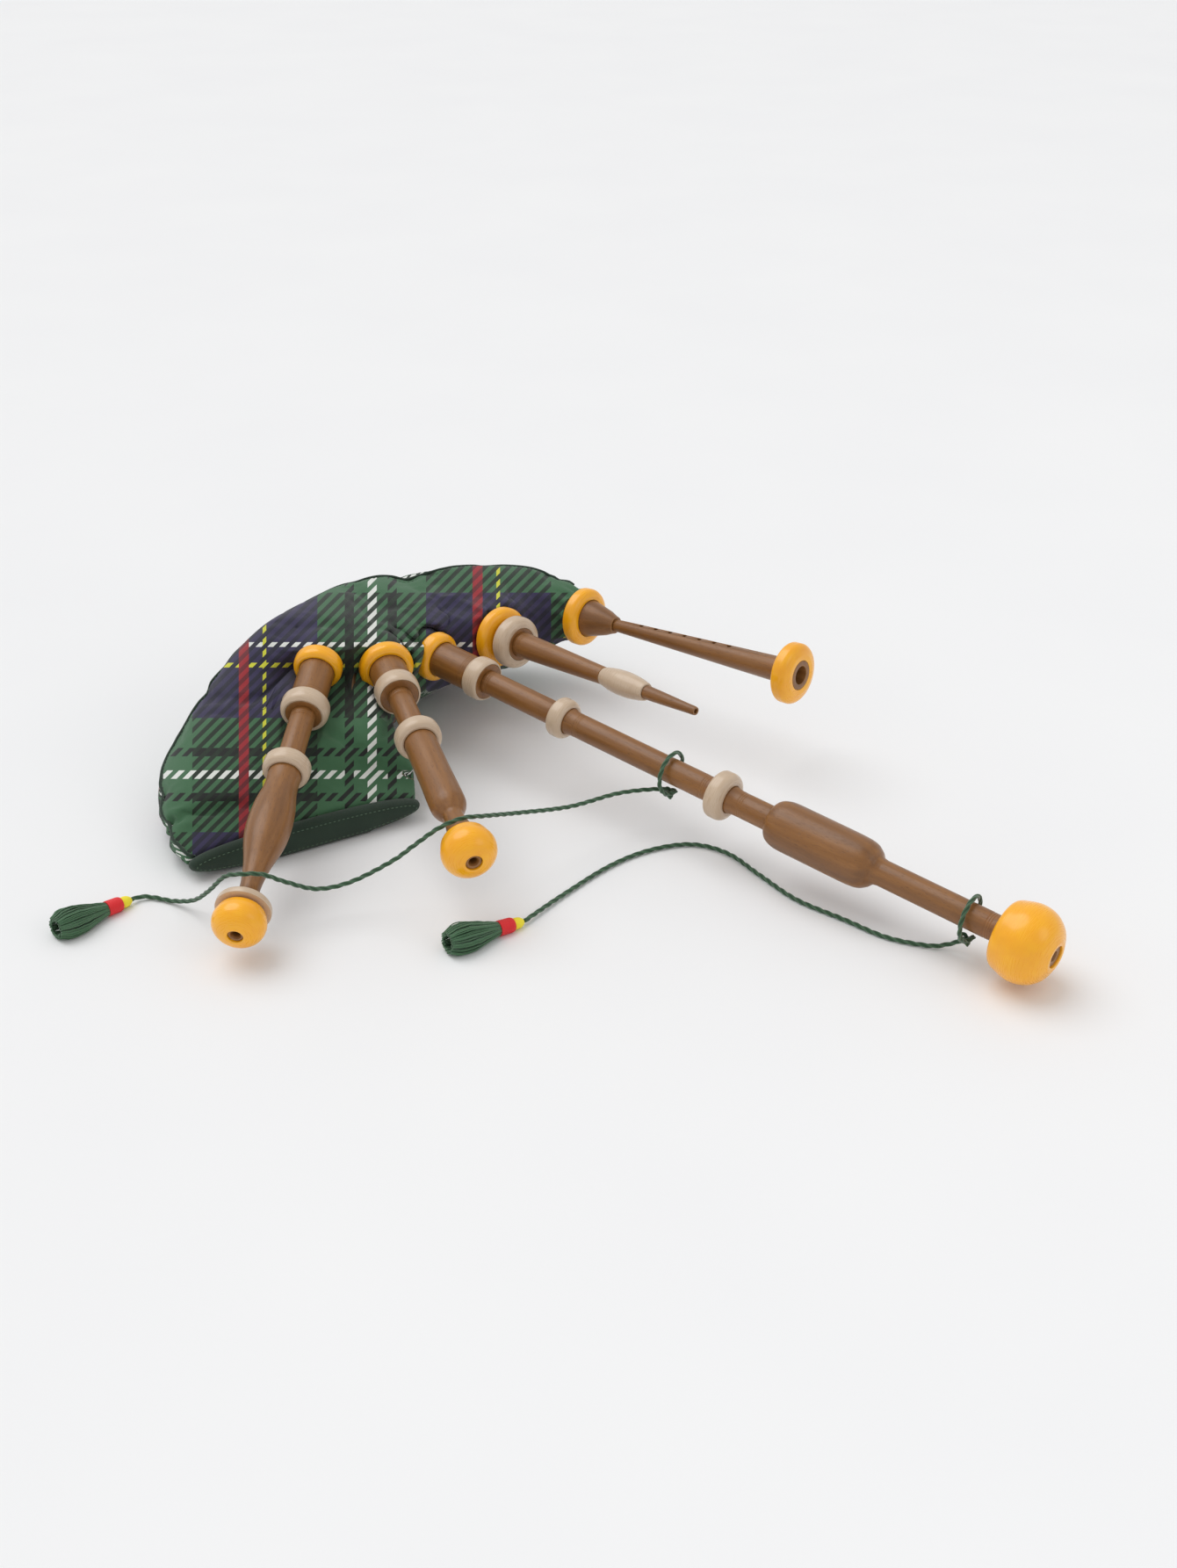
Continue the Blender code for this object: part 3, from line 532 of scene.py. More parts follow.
spin = made_node(nodes, link, "ShaderNodeCombineXYZ", Z=turn)
reach = made_node(nodes, link, "FunctionNodeRandomValue", Seed=given["Seed"])
reach.inputs[2].default_value = 0.62
reach.inputs[3].default_value = 1.0
spread = made_node(nodes, link, "ShaderNodeCombineXYZ", X=reach.outputs[1], Y=reach.outputs[1], Z=1.0)
copies = nodes.new("GeometryNodeInstanceOnPoints")
link(spots.outputs[0], copies.inputs["Points"])
link(strand_curve.outputs["Curve"], copies.inputs["Instance"])
link(spin.outputs["Vector"], copies.inputs["Rotation"])
link(spread.outputs["Vector"], copies.inputs["Scale"])
loose = nodes.new("GeometryNodeRealizeInstances")
link(copies.outputs["Instances"], loose.inputs["Geometry"])
spot = nodes.new("GeometryNodeInputPosition").outputs["Position"]
ripple = made_node(nodes, link, "ShaderNodeTexNoise", Vector=spot, Scale=95.0, Detail=1.0)
centred = nodes.new("ShaderNodeVectorMath")
centred.operation = "SUBTRACT"
link(ripple.outputs["Color"], centred.inputs[0])
centred.inputs[1].default_value = (0.5, 0.5, 0.5)
sized = nodes.new("ShaderNodeVectorMath")
sized.operation = "SCALE"
link(centred.outputs["Vector"], sized.inputs[0])
link(given["Waviness"], sized.inputs["Scale"])
moved = nodes.new("GeometryNodeSetPosition")
link(loose.outputs["Geometry"], moved.inputs["Geometry"])
link(sized.outputs["Vector"], moved.inputs["Offset"])
round_section = nodes.new("GeometryNodeCurvePrimitiveCircle")
round_section.inputs["Resolution"].default_value = 5
link(given["Thickness"], round_section.inputs["Radius"])
thick = nodes.new("GeometryNodeCurveToMesh")
link(moved.outputs["Geometry"], thick.inputs["Curve"])
link(round_section.outputs["Curve"], thick.inputs["Profile Curve"])
thick.inputs["Fill Caps"].default_value = True
solid = nodes.new("GeometryNodeRealizeInstances")
link(thick.outputs["Mesh"], solid.inputs["Geometry"])
dyed = nodes.new("GeometryNodeSetMaterial")
link(solid.outputs["Geometry"], dyed.inputs["Geometry"])
link(given["Yarn"], dyed.inputs["Material"])
link(dyed.outputs["Geometry"], nodes.new("NodeGroupOutput").inputs["Geometry"])


def grown(name, mesh, tree, values, place=None):
    """The plain mesh that a geometry tree makes from a base mesh, with the tree's inputs set."""
    base = place_in_scene(name + "_base", mesh)
    modifier = base.modifiers.new("tree", "NODES")
    modifier.node_group = tree
    for socket, value in values:
        modifier[socket.identifier] = value
    evaluated = base.evaluated_get(bpy.context.evaluated_depsgraph_get())
    made = bpy.data.meshes.new_from_object(evaluated)
    bpy.data.objects.remove(base, do_unlink=True)
    made.name = name
    if place is not None:
        made.transform(place)
    made.shade_smooth()
    return place_in_scene(name, made)


yellow_yarn = thread_material("yellow_yarn", (250, 236, 52), (196, 160, 24), 1500.0, 0.0003, 0.2)
red_yarn = thread_material("red_yarn", (233, 38, 44), (140, 12, 20), 1500.0, 0.0003, 0.2)
green_yarn = thread_material("green_yarn", (72, 114, 78), (30, 58, 36), 1500.0, 0.0003, 0.4)
# The core is the skirt's green painted darker: painted shade inside the skirt of threads
painted_shade_core_yarn = thread_material("painted_shade_core_yarn", (48, 82, 54), (24, 46, 30), 900.0, 0.0005, 0.2)

for name, route in (("lower", LOWER_ROUTE), ("upper", UPPER_ROUTE)):
    place = pipe_matrix(Vector(route[-1]), TASSEL_HEADINGS[name], TASSEL_RISE)
    bead_start = SEAT + CORD_RADIUS * 0.4
    binding_start = bead_start + BEAD_LENGTH + SEAT
    skirt_start = binding_start + BINDING_LENGTH + SEAT
    outline = ((bead_start, 0.0030), (bead_start + 0.004, 0.0054), (bead_start + 0.0085, 0.0060),
               (bead_start + BEAD_LENGTH, 0.0056))
    outline = ridged(outline, WRAP_PITCH, WRAP_DEPTH)
    bead = lathe(name + "_tassel_wrapped_bead", outline, None, place, 0.0003)
    bead.data.materials.append(yellow_yarn)
    outline = ((binding_start, 0.0066), (binding_start + 0.003, 0.0077), (binding_start + 0.010, 0.0079),
               (binding_start + BINDING_LENGTH, 0.0080))
    outline = ridged(outline, WRAP_PITCH, WRAP_DEPTH)
    binding = lathe(name + "_tassel_wound_binding", outline, None, place, 0.0003)
    binding.data.materials.append(red_yarn)
    core_outline = [(skirt_start + t * 0.86, radius * 0.70) for t, radius in SKIRT_OUTLINE]
    core = lathe(name + "_tassel_core", [(p.x, p.y) for p in
                 smooth_path([(t, radius, 0) for t, radius in core_outline], 0.003)], None, place)
    core.data.materials.append(painted_shade_core_yarn)
    edge = smooth_path([(radius - STRAND_RADIUS, 0, skirt_start + t) for t, radius in SKIRT_OUTLINE], 0.004)
    edge[-1].x *= 1.15
    strand = bpy.data.meshes.new("strand")
    strand.from_pydata([tuple(point) for point in edge], [(i, i + 1) for i in range(len(edge) - 1)], [])
    skirt = grown(name + "_tassel_threads", strand, threads_tree,
                  ((count_socket, SKIRT_STRANDS), (thick_socket, STRAND_RADIUS), (wave_socket, 0.0024),
                   (seed_socket, 3 if name == "lower" else 8), (yarn_socket, green_yarn)), place)
    for vertex in skirt.data.vertices:
        vertex.co.z = max(vertex.co.z, 0.0002)
    cord, knot, path = cords[name]
    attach(cord, "bag")
    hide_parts(name + "_cord")
    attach(knot, "bag")
    for piece, node, slot in ((bead, "_tassel_bead", "yellow_yarn"),
                              (binding, "_tassel_binding", "red_yarn"),
                              (skirt, "_tassel_skirt", "green_yarn"), (core, None, "green_yarn")):
        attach(piece, "bag")
        if node:
            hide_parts(name + node)

# Stocks ------------------------------------------------------------------------------------------
# Five turned hardwood tubes tied into the bag. Each has an amber-lacquered collar where the cloth is
# bound to it, and all but the chanter's have a cream ring round the mouth.
PIPES = {
    "bass": {"place": pipe_matrix(BASS_BASE, BASS_HEADING, BASS_RISE), "mouth": 0.078, "radius": 0.0205,
             "bore": 0.0115, "collar": 0.0285, "mount": 0.0245, "collar_end": 0.006},
    "left_tenor": {"place": pipe_matrix(Vector((-0.2923, 0.0795, 0.130)), -95.45, -12.93), "mouth": 0.079,
                   "radius": 0.0195, "bore": 0.0115, "collar": 0.0270, "mount": 0.0265, "collar_end": 0.006},
    "right_tenor": {"place": pipe_matrix(Vector((-0.2180, 0.0995, 0.120)), -71.59, -6.33), "mouth": 0.059,
                    "radius": 0.0212, "bore": 0.0115, "collar": 0.0305, "mount": 0.0250, "collar_end": 0.006},
    "blowpipe": {"place": pipe_matrix(Vector((-0.0928, 0.2114, 0.105)), -46.20, 3.70), "mouth": 0.032,
                 "radius": 0.0190, "bore": 0.0120, "collar": 0.0350, "mount": 0.0305, "collar_end": 0.006},
    "chanter": {"place": pipe_matrix(Vector((0.0040, 0.2777, 0.100)), -39.26, 3.72), "mouth": 0.046,
                "radius": 0.0222, "tip": 0.0100, "bore": 0.0066, "collar": 0.0345, "collar_end": 0.0065},
}
FIT = 0.0003
STOCK_INSIDE = 0.026
COLLAR_WIDTH = 0.018
STOCK_MOUNT_WIDTH = 0.020
WOOD = (133, 87, 40)
WOOD_LIGHT = (149, 101, 52)
WOOD_DARK = (99, 62, 28)
CREAM = (205, 182, 156)
CREAM_DEEP = (196, 171, 144)
GOLD = (255, 182, 14)
GOLD_DEEP = (251, 169, 10)
COMB_DEPTH = 0.00035


def stretched(nodes, link, value, low, high, to_low=0.0, to_high=1.0):
    """A value from low to high spread over 0 to 1, or over the two levels given."""
    made = made_node(nodes, link, "ShaderNodeMapRange", Value=value)
    for name, level in (("From Min", low), ("From Max", high), ("To Min", to_low), ("To Max", to_high)):
        made.inputs[name].default_value = level
    return made.outputs[0]


# Timber figure, shared by every wooden and cane piece: long streaks, growth bands and open pores
timber = bpy.data.node_groups.new("timber", "ShaderNodeTree")
add_socket(timber, "Vector", "Vector")
add_socket(timber, "Light", "Color", (0.5, 0.4, 0.3, 1))
add_socket(timber, "Middle", "Color", (0.4, 0.3, 0.2, 1))
add_socket(timber, "Dark", "Color", (0.3, 0.2, 0.1, 1))
add_socket(timber, "Color", "Color", output=True)
add_socket(timber, "Roughness", "Float", output=True)
add_socket(timber, "Height", "Float", output=True)
nodes = timber.nodes
link = timber.links.new
given = nodes.new("NodeGroupInput").outputs
result = nodes.new("NodeGroupOutput").inputs
lengthwise = nodes.new("ShaderNodeMapping")
lengthwise.inputs["Scale"].default_value = (1.0, 1.0, 0.07)
link(given["Vector"], lengthwise.inputs["Vector"])
streak = made_node(nodes, link, "ShaderNodeTexNoise", Vector=lengthwise.outputs[0], Scale=210.0, Detail=5.0)
band = made_node(nodes, link, "ShaderNodeTexNoise", Vector=lengthwise.outputs[0], Scale=62.0, Detail=2.0)
pore_place = nodes.new("ShaderNodeMapping")
pore_place.inputs["Scale"].default_value = (1.0, 1.0, 0.12)
link(given["Vector"], pore_place.inputs["Vector"])
pore = made_node(nodes, link, "ShaderNodeTexNoise", Vector=pore_place.outputs[0], Scale=1300.0, Detail=1.0)
open_pore = stretched(nodes, link, pore.outputs["Fac"], 0.60, 0.72)
light_part = stretched(nodes, link, streak.outputs["Fac"], 0.40, 0.75)
dark_part = stretched(nodes, link, band.outputs["Fac"], 0.48, 0.78, 0.0, 0.75)
figure = colour_mix(nodes, link, light_part, given["Middle"], given["Light"])
figure = colour_mix(nodes, link, dark_part, figure, given["Dark"])
pore_weight = math_node(nodes, link, "MULTIPLY", open_pore, 0.6)
link(colour_mix(nodes, link, pore_weight, figure, given["Dark"]), result["Color"])
link(math_node(nodes, link, "MULTIPLY_ADD", streak.outputs["Fac"], 0.22, 0.24), result["Roughness"])
link(math_node(nodes, link, "SUBTRACT", streak.outputs["Fac"], open_pore), result["Height"])

# Handling, shared by all the hard finishes: rubbed outer corners, small scuffs and grime in patches
handling = bpy.data.node_groups.new("handling", "ShaderNodeTree")
add_socket(handling, "Vector", "Vector")
add_socket(handling, "Edge", "Float", 0.0)
add_socket(handling, "Wear", "Float", 0.5)
add_socket(handling, "Rubbed", "Float", output=True)
add_socket(handling, "Grime", "Float", output=True)
nodes = handling.nodes
link = handling.links.new
given = nodes.new("NodeGroupInput").outputs
result = nodes.new("NodeGroupOutput").inputs
broken = made_node(nodes, link, "ShaderNodeTexNoise", Vector=given["Vector"], Scale=160.0, Detail=4.0)
patchy = made_node(nodes, link, "ShaderNodeTexNoise", Vector=given["Vector"], Scale=38.0, Detail=3.0)
rubbed = math_node(nodes, link, "MULTIPLY", given["Edge"], broken.outputs["Fac"])
rubbed = math_node(nodes, link, "MULTIPLY", rubbed, given["Wear"])
rubbed = math_node(nodes, link, "MULTIPLY", rubbed, 1.6)
rubbed.node.use_clamp = True
link(rubbed, result["Rubbed"])
link(stretched(nodes, link, patchy.outputs["Fac"], 0.46, 0.80), result["Grime"])


def hard_material(name, light, middle, dark, rubbed, wear, wooden, coat=0.0):
    """An oiled wood, or a smooth turned finish with fine tool lines round it."""
    made, nodes, link, shader = start_material(name, 0.35)
    spot = nodes.new("ShaderNodeAttribute")
    spot.attribute_name = "grain"
    edge = nodes.new("ShaderNodeAttribute")
    edge.attribute_name = "edge"
    hands = nodes.new("ShaderNodeGroup")
    hands.node_tree = handling
    hands.inputs["Wear"].default_value = wear
    link(spot.outputs["Vector"], hands.inputs["Vector"])
    link(edge.outputs["Fac"], hands.inputs["Edge"])
    relief = nodes.new("ShaderNodeBump")
    if wooden:
        figure = nodes.new("ShaderNodeGroup")
        figure.node_tree = timber
        for socket, value in (("Light", light), ("Middle", middle), ("Dark", dark)):
            figure.inputs[socket].default_value = paint(*value)
        link(spot.outputs["Vector"], figure.inputs["Vector"])
        colour = figure.outputs["Color"]
        rough = figure.outputs["Roughness"]
        link(figure.outputs["Height"], relief.inputs["Height"])
        relief.inputs["Distance"].default_value = 0.00025
        relief.inputs["Strength"].default_value = 0.35
    else:
        around = nodes.new("ShaderNodeMapping")
        around.inputs["Scale"].default_value = (0.06, 0.06, 1.0)
        link(spot.outputs["Vector"], around.inputs["Vector"])
        tool = made_node(nodes, link, "ShaderNodeTexNoise", Vector=around.outputs[0], Scale=1500.0,
                        Detail=2.0)
        cloud = made_node(nodes, link, "ShaderNodeTexNoise", Vector=spot.outputs["Vector"], Scale=55.0,
                         Detail=3.0)
        tone = math_node(nodes, link, "MULTIPLY", tool.outputs["Fac"], 0.5)
        tone = math_node(nodes, link, "MULTIPLY_ADD", cloud.outputs["Fac"], 0.5, tone)
        spread = stretched(nodes, link, tone, 0.30, 0.62)
        colour = colour_mix(nodes, link, spread, paint(*middle), paint(*light))
        grime = math_node(nodes, link, "MULTIPLY", hands.outputs["Grime"], 0.30)
        colour = colour_mix(nodes, link, grime, colour, paint(*dark))
        rough = math_node(nodes, link, "MULTIPLY_ADD", tool.outputs["Fac"], 0.20, 0.18)
        link(tool.outputs["Fac"], relief.inputs["Height"])
        relief.inputs["Distance"].default_value = 0.00012
        relief.inputs["Strength"].default_value = 0.25
    colour = colour_mix(nodes, link, hands.outputs["Rubbed"], colour, paint(*rubbed))
    rough = math_node(nodes, link, "MULTIPLY_ADD", hands.outputs["Grime"], 0.12, rough)
    link(colour, shader.inputs["Base Color"])
    link(rough, shader.inputs["Roughness"])
    link(relief.outputs["Normal"], shader.inputs["Normal"])
    shader.inputs["Coat Weight"].default_value = coat
    shader.inputs["Coat Roughness"].default_value = 0.12
    return made


oiled_wood = hard_material("oiled_wood", WOOD_LIGHT, WOOD, WOOD_DARK, (172, 128, 76), 0.55, True, 0.10)
cream_ring = hard_material("cream_ring", CREAM, CREAM_DEEP, (168, 140, 110), (222, 204, 182), 0.4,
                           False, 0.3)
amber_lacquer = hard_material("amber_lacquer", GOLD, GOLD_DEEP, (222, 136, 12), (255, 206, 84), 0.45,
                              False, 0.3)


def finished(piece, body, slot, material, *nodes_replaced):
    """Gives a piece its finish and body, and puts it in place of its plain solids. Its slot is not used."""
    piece.data.materials.clear()
    piece.data.materials.append(material)
    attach(piece, body)
    if nodes_replaced:
        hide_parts(*nodes_replaced)
    return piece


def flowing(outline, spacing=0.0015):
    """An outline of (t, radius) drawn as one smooth curve."""
    return [(p.x, p.y) for p in smooth_path([(t, radius, 0) for t, radius in outline], spacing)]


def ring_outline(start, width, large, hole):
    """A ring with rounded shoulders, the outer one rounder, and a fine line cut near each end."""
    wall = large - hole
    outline = flowing(((start, hole + wall * 0.55), (start + width * 0.10, hole + wall * 0.86),
                       (start + width * 0.25, large), (start + width * 0.62, large),
                       (start + width * 0.86, hole + wall * 0.80),
                       (start + width, hole + wall * 0.35)), 0.0012)
    return [(t, min(radius, large)) for t, radius in outline]


def combing(start, end, radius, count, depth=COMB_DEPTH):
    """Fine round grooves cut side by side into a straight tube."""
    pitch = (end - start) / count
    outline = []
    for groove in range(count):
        for s, cut in ((0.0, 0.0), (0.2, 0.55), (0.5, 1.0), (0.8, 0.55)):
            outline.append((start + (groove + s) * pitch, radius - depth * cut))
    outline.append((end, radius))
    return outline


for name, pipe in PIPES.items():
    place = pipe["place"]
    radius = pipe["radius"]
    mouth = pipe["mouth"]
    tip = pipe.get("tip", radius)
    outside = [(-STOCK_INSIDE, radius * 0.92), (-STOCK_INSIDE + 0.006, radius),
               (pipe["collar_end"], radius)]
    if "mount" in pipe:
        low = mouth - STOCK_MOUNT_WIDTH - 0.010
        outside += combing(low, low + 0.0075, radius, 3)
        outside += [(mouth, tip)]
    else:
        outside += [(mouth - 0.012, radius + (tip - radius) * 0.62), (mouth - 0.004, tip + 0.0012),
                    (mouth, tip)]
    stock = lathe(name + "_turned_stock", outside, ((-STOCK_INSIDE, pipe["bore"]), (mouth, pipe["bore"])),
                  place, 0.0008, offset=len(name) * 0.37)
    finished(stock, "bag", "turned_wood", oiled_wood, name + "_stock")
    hole = radius + FIT
    start = pipe["collar_end"] - COLLAR_WIDTH
    collar = lathe(name + "_lacquered_collar", ring_outline(start, COLLAR_WIDTH, pipe["collar"], hole),
                   ((start, hole), (start + COLLAR_WIDTH, hole)), place, 0.0007)
    finished(collar, "bag", "gold_mount", amber_lacquer, name + "_collar")
    if "mount" in pipe:
        start = mouth - STOCK_MOUNT_WIDTH
        ring = lathe(name + "_stock_ring", ring_outline(start, STOCK_MOUNT_WIDTH, pipe["mount"], hole),
                     ((start, hole), (mouth, hole)), place, 0.0007)
        finished(ring, "bag", "cream_mount", cream_ring, name + "_stock_mount")

# Bass drone --------------------------------------------------------------------------------------
# Three turned joints that telescope on hemped pins: a plain bottom joint with the reed in its foot,
# a middle joint, and a top joint with a long swelling and a domed amber cap with a wooden bush.
DRONE_BORE = 0.0042
PIN_RADIUS = 0.0095
PIN_LENGTH = 0.048
PIN_GAP = 0.004
TENON_LENGTH = 0.036
TENON_RADIUS = 0.0112
REED_RADIUS = 0.0038
REED_SEAT = 0.010
RING_WIDTH = 0.019
CAP_LIP = 0.012
BUSH_RECESS = 0.002
BASS_TUBE = 0.0136
BASS_SOCKET = 0.0150
BASS_MIDDLE = 0.1800
BASS_TOP = 0.3985
BASS_SWELL = 0.4720
BASS_SWELL_END = 0.5980
BASS_SWELL_RADIUS = 0.0262
BASS_CAP = 0.7400
BASS_CAP_LENGTH = 0.0584
BASS_CAP_RADIUS = 0.0400
BASS_CAP_HOLE = 0.0115


def bottom_joint(name, mouth, end, tube, place):
    foot = mouth - TENON_LENGTH
    seat = foot + REED_SEAT + SEAT
    outside = [(foot, TENON_RADIUS), (mouth, TENON_RADIUS), (mouth, tube)]
    outside += combing(mouth + 0.004, mouth + 0.009, tube, 2)
    outside += [(end, tube), (end, PIN_RADIUS), (end + PIN_LENGTH, PIN_RADIUS)]
    inside = ((foot, REED_RADIUS + FIT), (seat, REED_RADIUS + FIT), (seat + 0.002, DRONE_BORE),
              (end + PIN_LENGTH, DRONE_BORE))
    return lathe(name, outside, inside, place, offset=1.1)


def upper_joint(name, start, body_outline, end, pin, place):
    socket = start + PIN_LENGTH + PIN_GAP
    outside = list(body_outline)
    inside = [(start, PIN_RADIUS + FIT), (socket, PIN_RADIUS + FIT), (socket + 0.004, DRONE_BORE)]
    if pin:
        outside += [(end, PIN_RADIUS), (end + PIN_LENGTH, PIN_RADIUS)]
        end += PIN_LENGTH
    return lathe(name, outside, inside + [(end, DRONE_BORE)], place, offset=start)


def drone_cap(name, start, depth, large, tube, hole, place, body):
    """A domed cap bored for its tube, with a wooden bush in the sound hole."""
    end = start + depth
    inner = start + CAP_LIP
    outline = flowing(((start, tube + 0.006), (start + depth * 0.06, tube + (large - tube) * 0.72),
                       (start + depth * 0.22, large * 0.93),
                       (start + depth * 0.45, large), (start + depth * 0.70, large * 0.93),
                       (start + depth * 0.90, large * 0.70), (end, hole * 1.35)), 0.002)
    outline = [(t, min(radius, large)) for t, radius in outline]
    bore = ((start, tube + FIT), (inner, tube + FIT), (inner, hole), (end, hole))
    cap = lathe(name + "_domed_cap", outline, bore, place, 0.0010, 72)
    finished(cap, body, "gold_mount", amber_lacquer, name + "_cap")
    bush = hole - FIT
    low = inner + SEAT
    high = end - BUSH_RECESS
    bored = ((low, DRONE_BORE), (high - 0.003, DRONE_BORE), (high, DRONE_BORE + 0.0015))
    piece = lathe(name + "_wooden_bush", ((low, bush), (high, bush)), bored, place, 0.0008, offset=2.3)
    finished(piece, body, "turned_wood", oiled_wood, name + "_cap_bush")


def tuning_ring(name, start, width, large, hole, place, body, node):
    """The cream ring at the foot of a joint that slides."""
    ring = lathe(name, ring_outline(start, width, large, hole), ((start, hole), (start + width, hole)),
                 place, 0.0007)
    finished(ring, body, "cream_mount", cream_ring, node)


place = PIPES["bass"]["place"]
mouth = PIPES["bass"]["mouth"] + SEAT
joint = bottom_joint("bass_turned_bottom", mouth, BASS_MIDDLE - SEAT, BASS_TUBE, place)
finished(joint, "bass_bottom", "turned_wood", oiled_wood, "bass_bottom_joint")

ring_end = BASS_MIDDLE + RING_WIDTH
end = BASS_TOP - SEAT
outline = [(BASS_MIDDLE, BASS_SOCKET), (ring_end + 0.002, BASS_SOCKET)]
outline += flowing(((ring_end + 0.0025, BASS_SOCKET), (ring_end + 0.006, BASS_TUBE + 0.0006),
                    (ring_end + 0.010, BASS_TUBE)))
outline += combing(ring_end + 0.014, ring_end + 0.0215, BASS_TUBE, 3)
outline += combing(end - 0.012, end - 0.0045, BASS_TUBE, 3) + [(end, BASS_TUBE)]
joint = upper_joint("bass_turned_middle", BASS_MIDDLE, outline, end, True, place)
finished(joint, "bass_middle", "turned_wood", oiled_wood, "bass_middle_joint")
tuning_ring("bass_middle_ring", BASS_MIDDLE + 0.001, RING_WIDTH, 0.0226, BASS_SOCKET + FIT, place,
            "bass_middle", "bass_middle_mount")

ring_end = BASS_TOP + RING_WIDTH + 0.002
large = BASS_SWELL_RADIUS
end = BASS_CAP + CAP_LIP - SEAT
outline = [(BASS_TOP, BASS_SOCKET), (ring_end + 0.002, BASS_SOCKET)]
outline += flowing(((ring_end + 0.0025, BASS_SOCKET), (ring_end + 0.006, BASS_TUBE + 0.0006),
                    (ring_end + 0.010, BASS_TUBE)))
outline += combing(ring_end + 0.014, ring_end + 0.0215, BASS_TUBE, 3)
outline.append((BASS_SWELL, BASS_TUBE))
outline += flowing(((BASS_SWELL + 0.0005, BASS_TUBE + 0.001), (BASS_SWELL + 0.004, large * 0.82),
                    (BASS_SWELL + 0.012, large * 0.955), (BASS_SWELL + 0.024, large),
                    (BASS_SWELL + 0.060, large * 1.0), (BASS_SWELL_END - 0.018, large * 0.98),
                    (BASS_SWELL_END - 0.004, large * 0.80), (BASS_SWELL_END + 0.002, large * 0.58),
                    (BASS_SWELL_END + 0.008, BASS_TUBE)), 0.002)
outline += combing(BASS_CAP - 0.014, BASS_CAP - 0.0065, BASS_TUBE, 3) + [(end, BASS_TUBE)]
outline = [(t, min(radius, large)) for t, radius in outline]
joint = upper_joint("bass_turned_top", BASS_TOP, outline, end, False, place)
finished(joint, "bass_top", "turned_wood", oiled_wood, "bass_top_joint")
tuning_ring("bass_top_ring", BASS_TOP + 0.001, RING_WIDTH + 0.002, 0.0262, BASS_SOCKET + FIT, place,
            "bass_top", "bass_top_mount")
drone_cap("bass", BASS_CAP, BASS_CAP_LENGTH, BASS_CAP_RADIUS, BASS_TUBE, BASS_CAP_HOLE, place, "bass_top")

# Tenor drones ------------------------------------------------------------------------------------
# Two shorter drones of two joints each. The left one swells like a pear under a narrow neck and has
# a cream washer below its cap; the right one is straight-sided with a deep waist before its cap.
TENOR_TUBE = 0.0133
TENORS = {
    "left_tenor": {"socket": 0.0172, "top": 0.1540, "ring": 0.0252, "neck": 0.0100,
                   "body": ((0.1765, 0.0174), (0.1880, 0.0171), (0.2010, 0.0180), (0.2240, 0.0215),
                            (0.2480, 0.0228), (0.2720, 0.0212), (0.3050, 0.0140), (0.3300, 0.0106),
                            (0.3500, 0.0100)),
                   "cap": 0.3680, "cap_length": 0.0341, "cap_radius": 0.0270, "hole": 0.0078,
                   "washer": 0.0100},
    "right_tenor": {"socket": 0.0176, "top": 0.1310, "ring": 0.0252, "neck": 0.0144,
                    "body": ((0.1535, 0.0177), (0.2100, 0.0180), (0.2580, 0.0188), (0.2700, 0.0176),
                             (0.2790, 0.0132), (0.2860, 0.0104), (0.3060, 0.0128), (0.3220, 0.0144)),
                    "cap": 0.3250, "cap_length": 0.0379, "cap_radius": 0.0285, "hole": 0.0086},
}

for name, drone in TENORS.items():
    place = PIPES[name]["place"]
    mouth = PIPES[name]["mouth"] + SEAT
    top = drone["top"]
    joint = bottom_joint(name + "_turned_bottom", mouth, top - SEAT, TENOR_TUBE, place)
    finished(joint, name + "_bottom", "turned_wood", oiled_wood, name + "_bottom_joint")
    end = drone["cap"] + CAP_LIP - SEAT
    outline = [(top, drone["socket"]), (top + RING_WIDTH + 0.002, drone["socket"])]
    outline += flowing(drone["body"], 0.002) + [(end, drone["neck"])]
    joint = upper_joint(name + "_turned_top", top, outline, end, False, place)
    finished(joint, name + "_top", "turned_wood", oiled_wood, name + "_top_joint")
    tuning_ring(name + "_ring", top + 0.001, RING_WIDTH, drone["ring"], drone["socket"] + FIT, place,
                name + "_top", name + "_mount")
    drone_cap(name, drone["cap"], drone["cap_length"], drone["cap_radius"], drone["neck"], drone["hole"],
              place, name + "_top")
    if "washer" in drone:
        end = drone["cap"] - SEAT
        start = end - drone["washer"]
        large = drone["cap_radius"] + 0.0008
        outline = flowing(((start, large * 0.80), (start + 0.003, large * 0.97), (start + 0.006, large),
                           (end, large)), 0.001)
        hole = drone["neck"] + FIT
        washer = lathe(name + "_cream_washer", outline, ((start, hole), (end, hole)), place, 0.0007)
        finished(washer, name + "_top", "cream_mount", cream_ring, name + "_cap_washer")

# Blowpipe ----------------------------------------------------------------------------------------
# A tapered wooden tube with a leather flap valve at its foot, a cream bulb, and a wooden mouthpiece
# whose pin slides into the bulb.
BLOWPIPE_TENON = 0.0117
BLOWPIPE_TUBE = 0.0148
BLOWPIPE_TUBE_END = 0.0100
BLOWPIPE_PIN = 0.0068
BLOWPIPE_BORE = 0.0060
THROAT = 0.0042
BULB = 0.1690
BULB_END = 0.2350
BULB_RADIUS = 0.0142
MOUTHPIECE_END = 0.3096
MOUTHPIECE_RADIUS = 0.0078
TIP_RADIUS = 0.0050

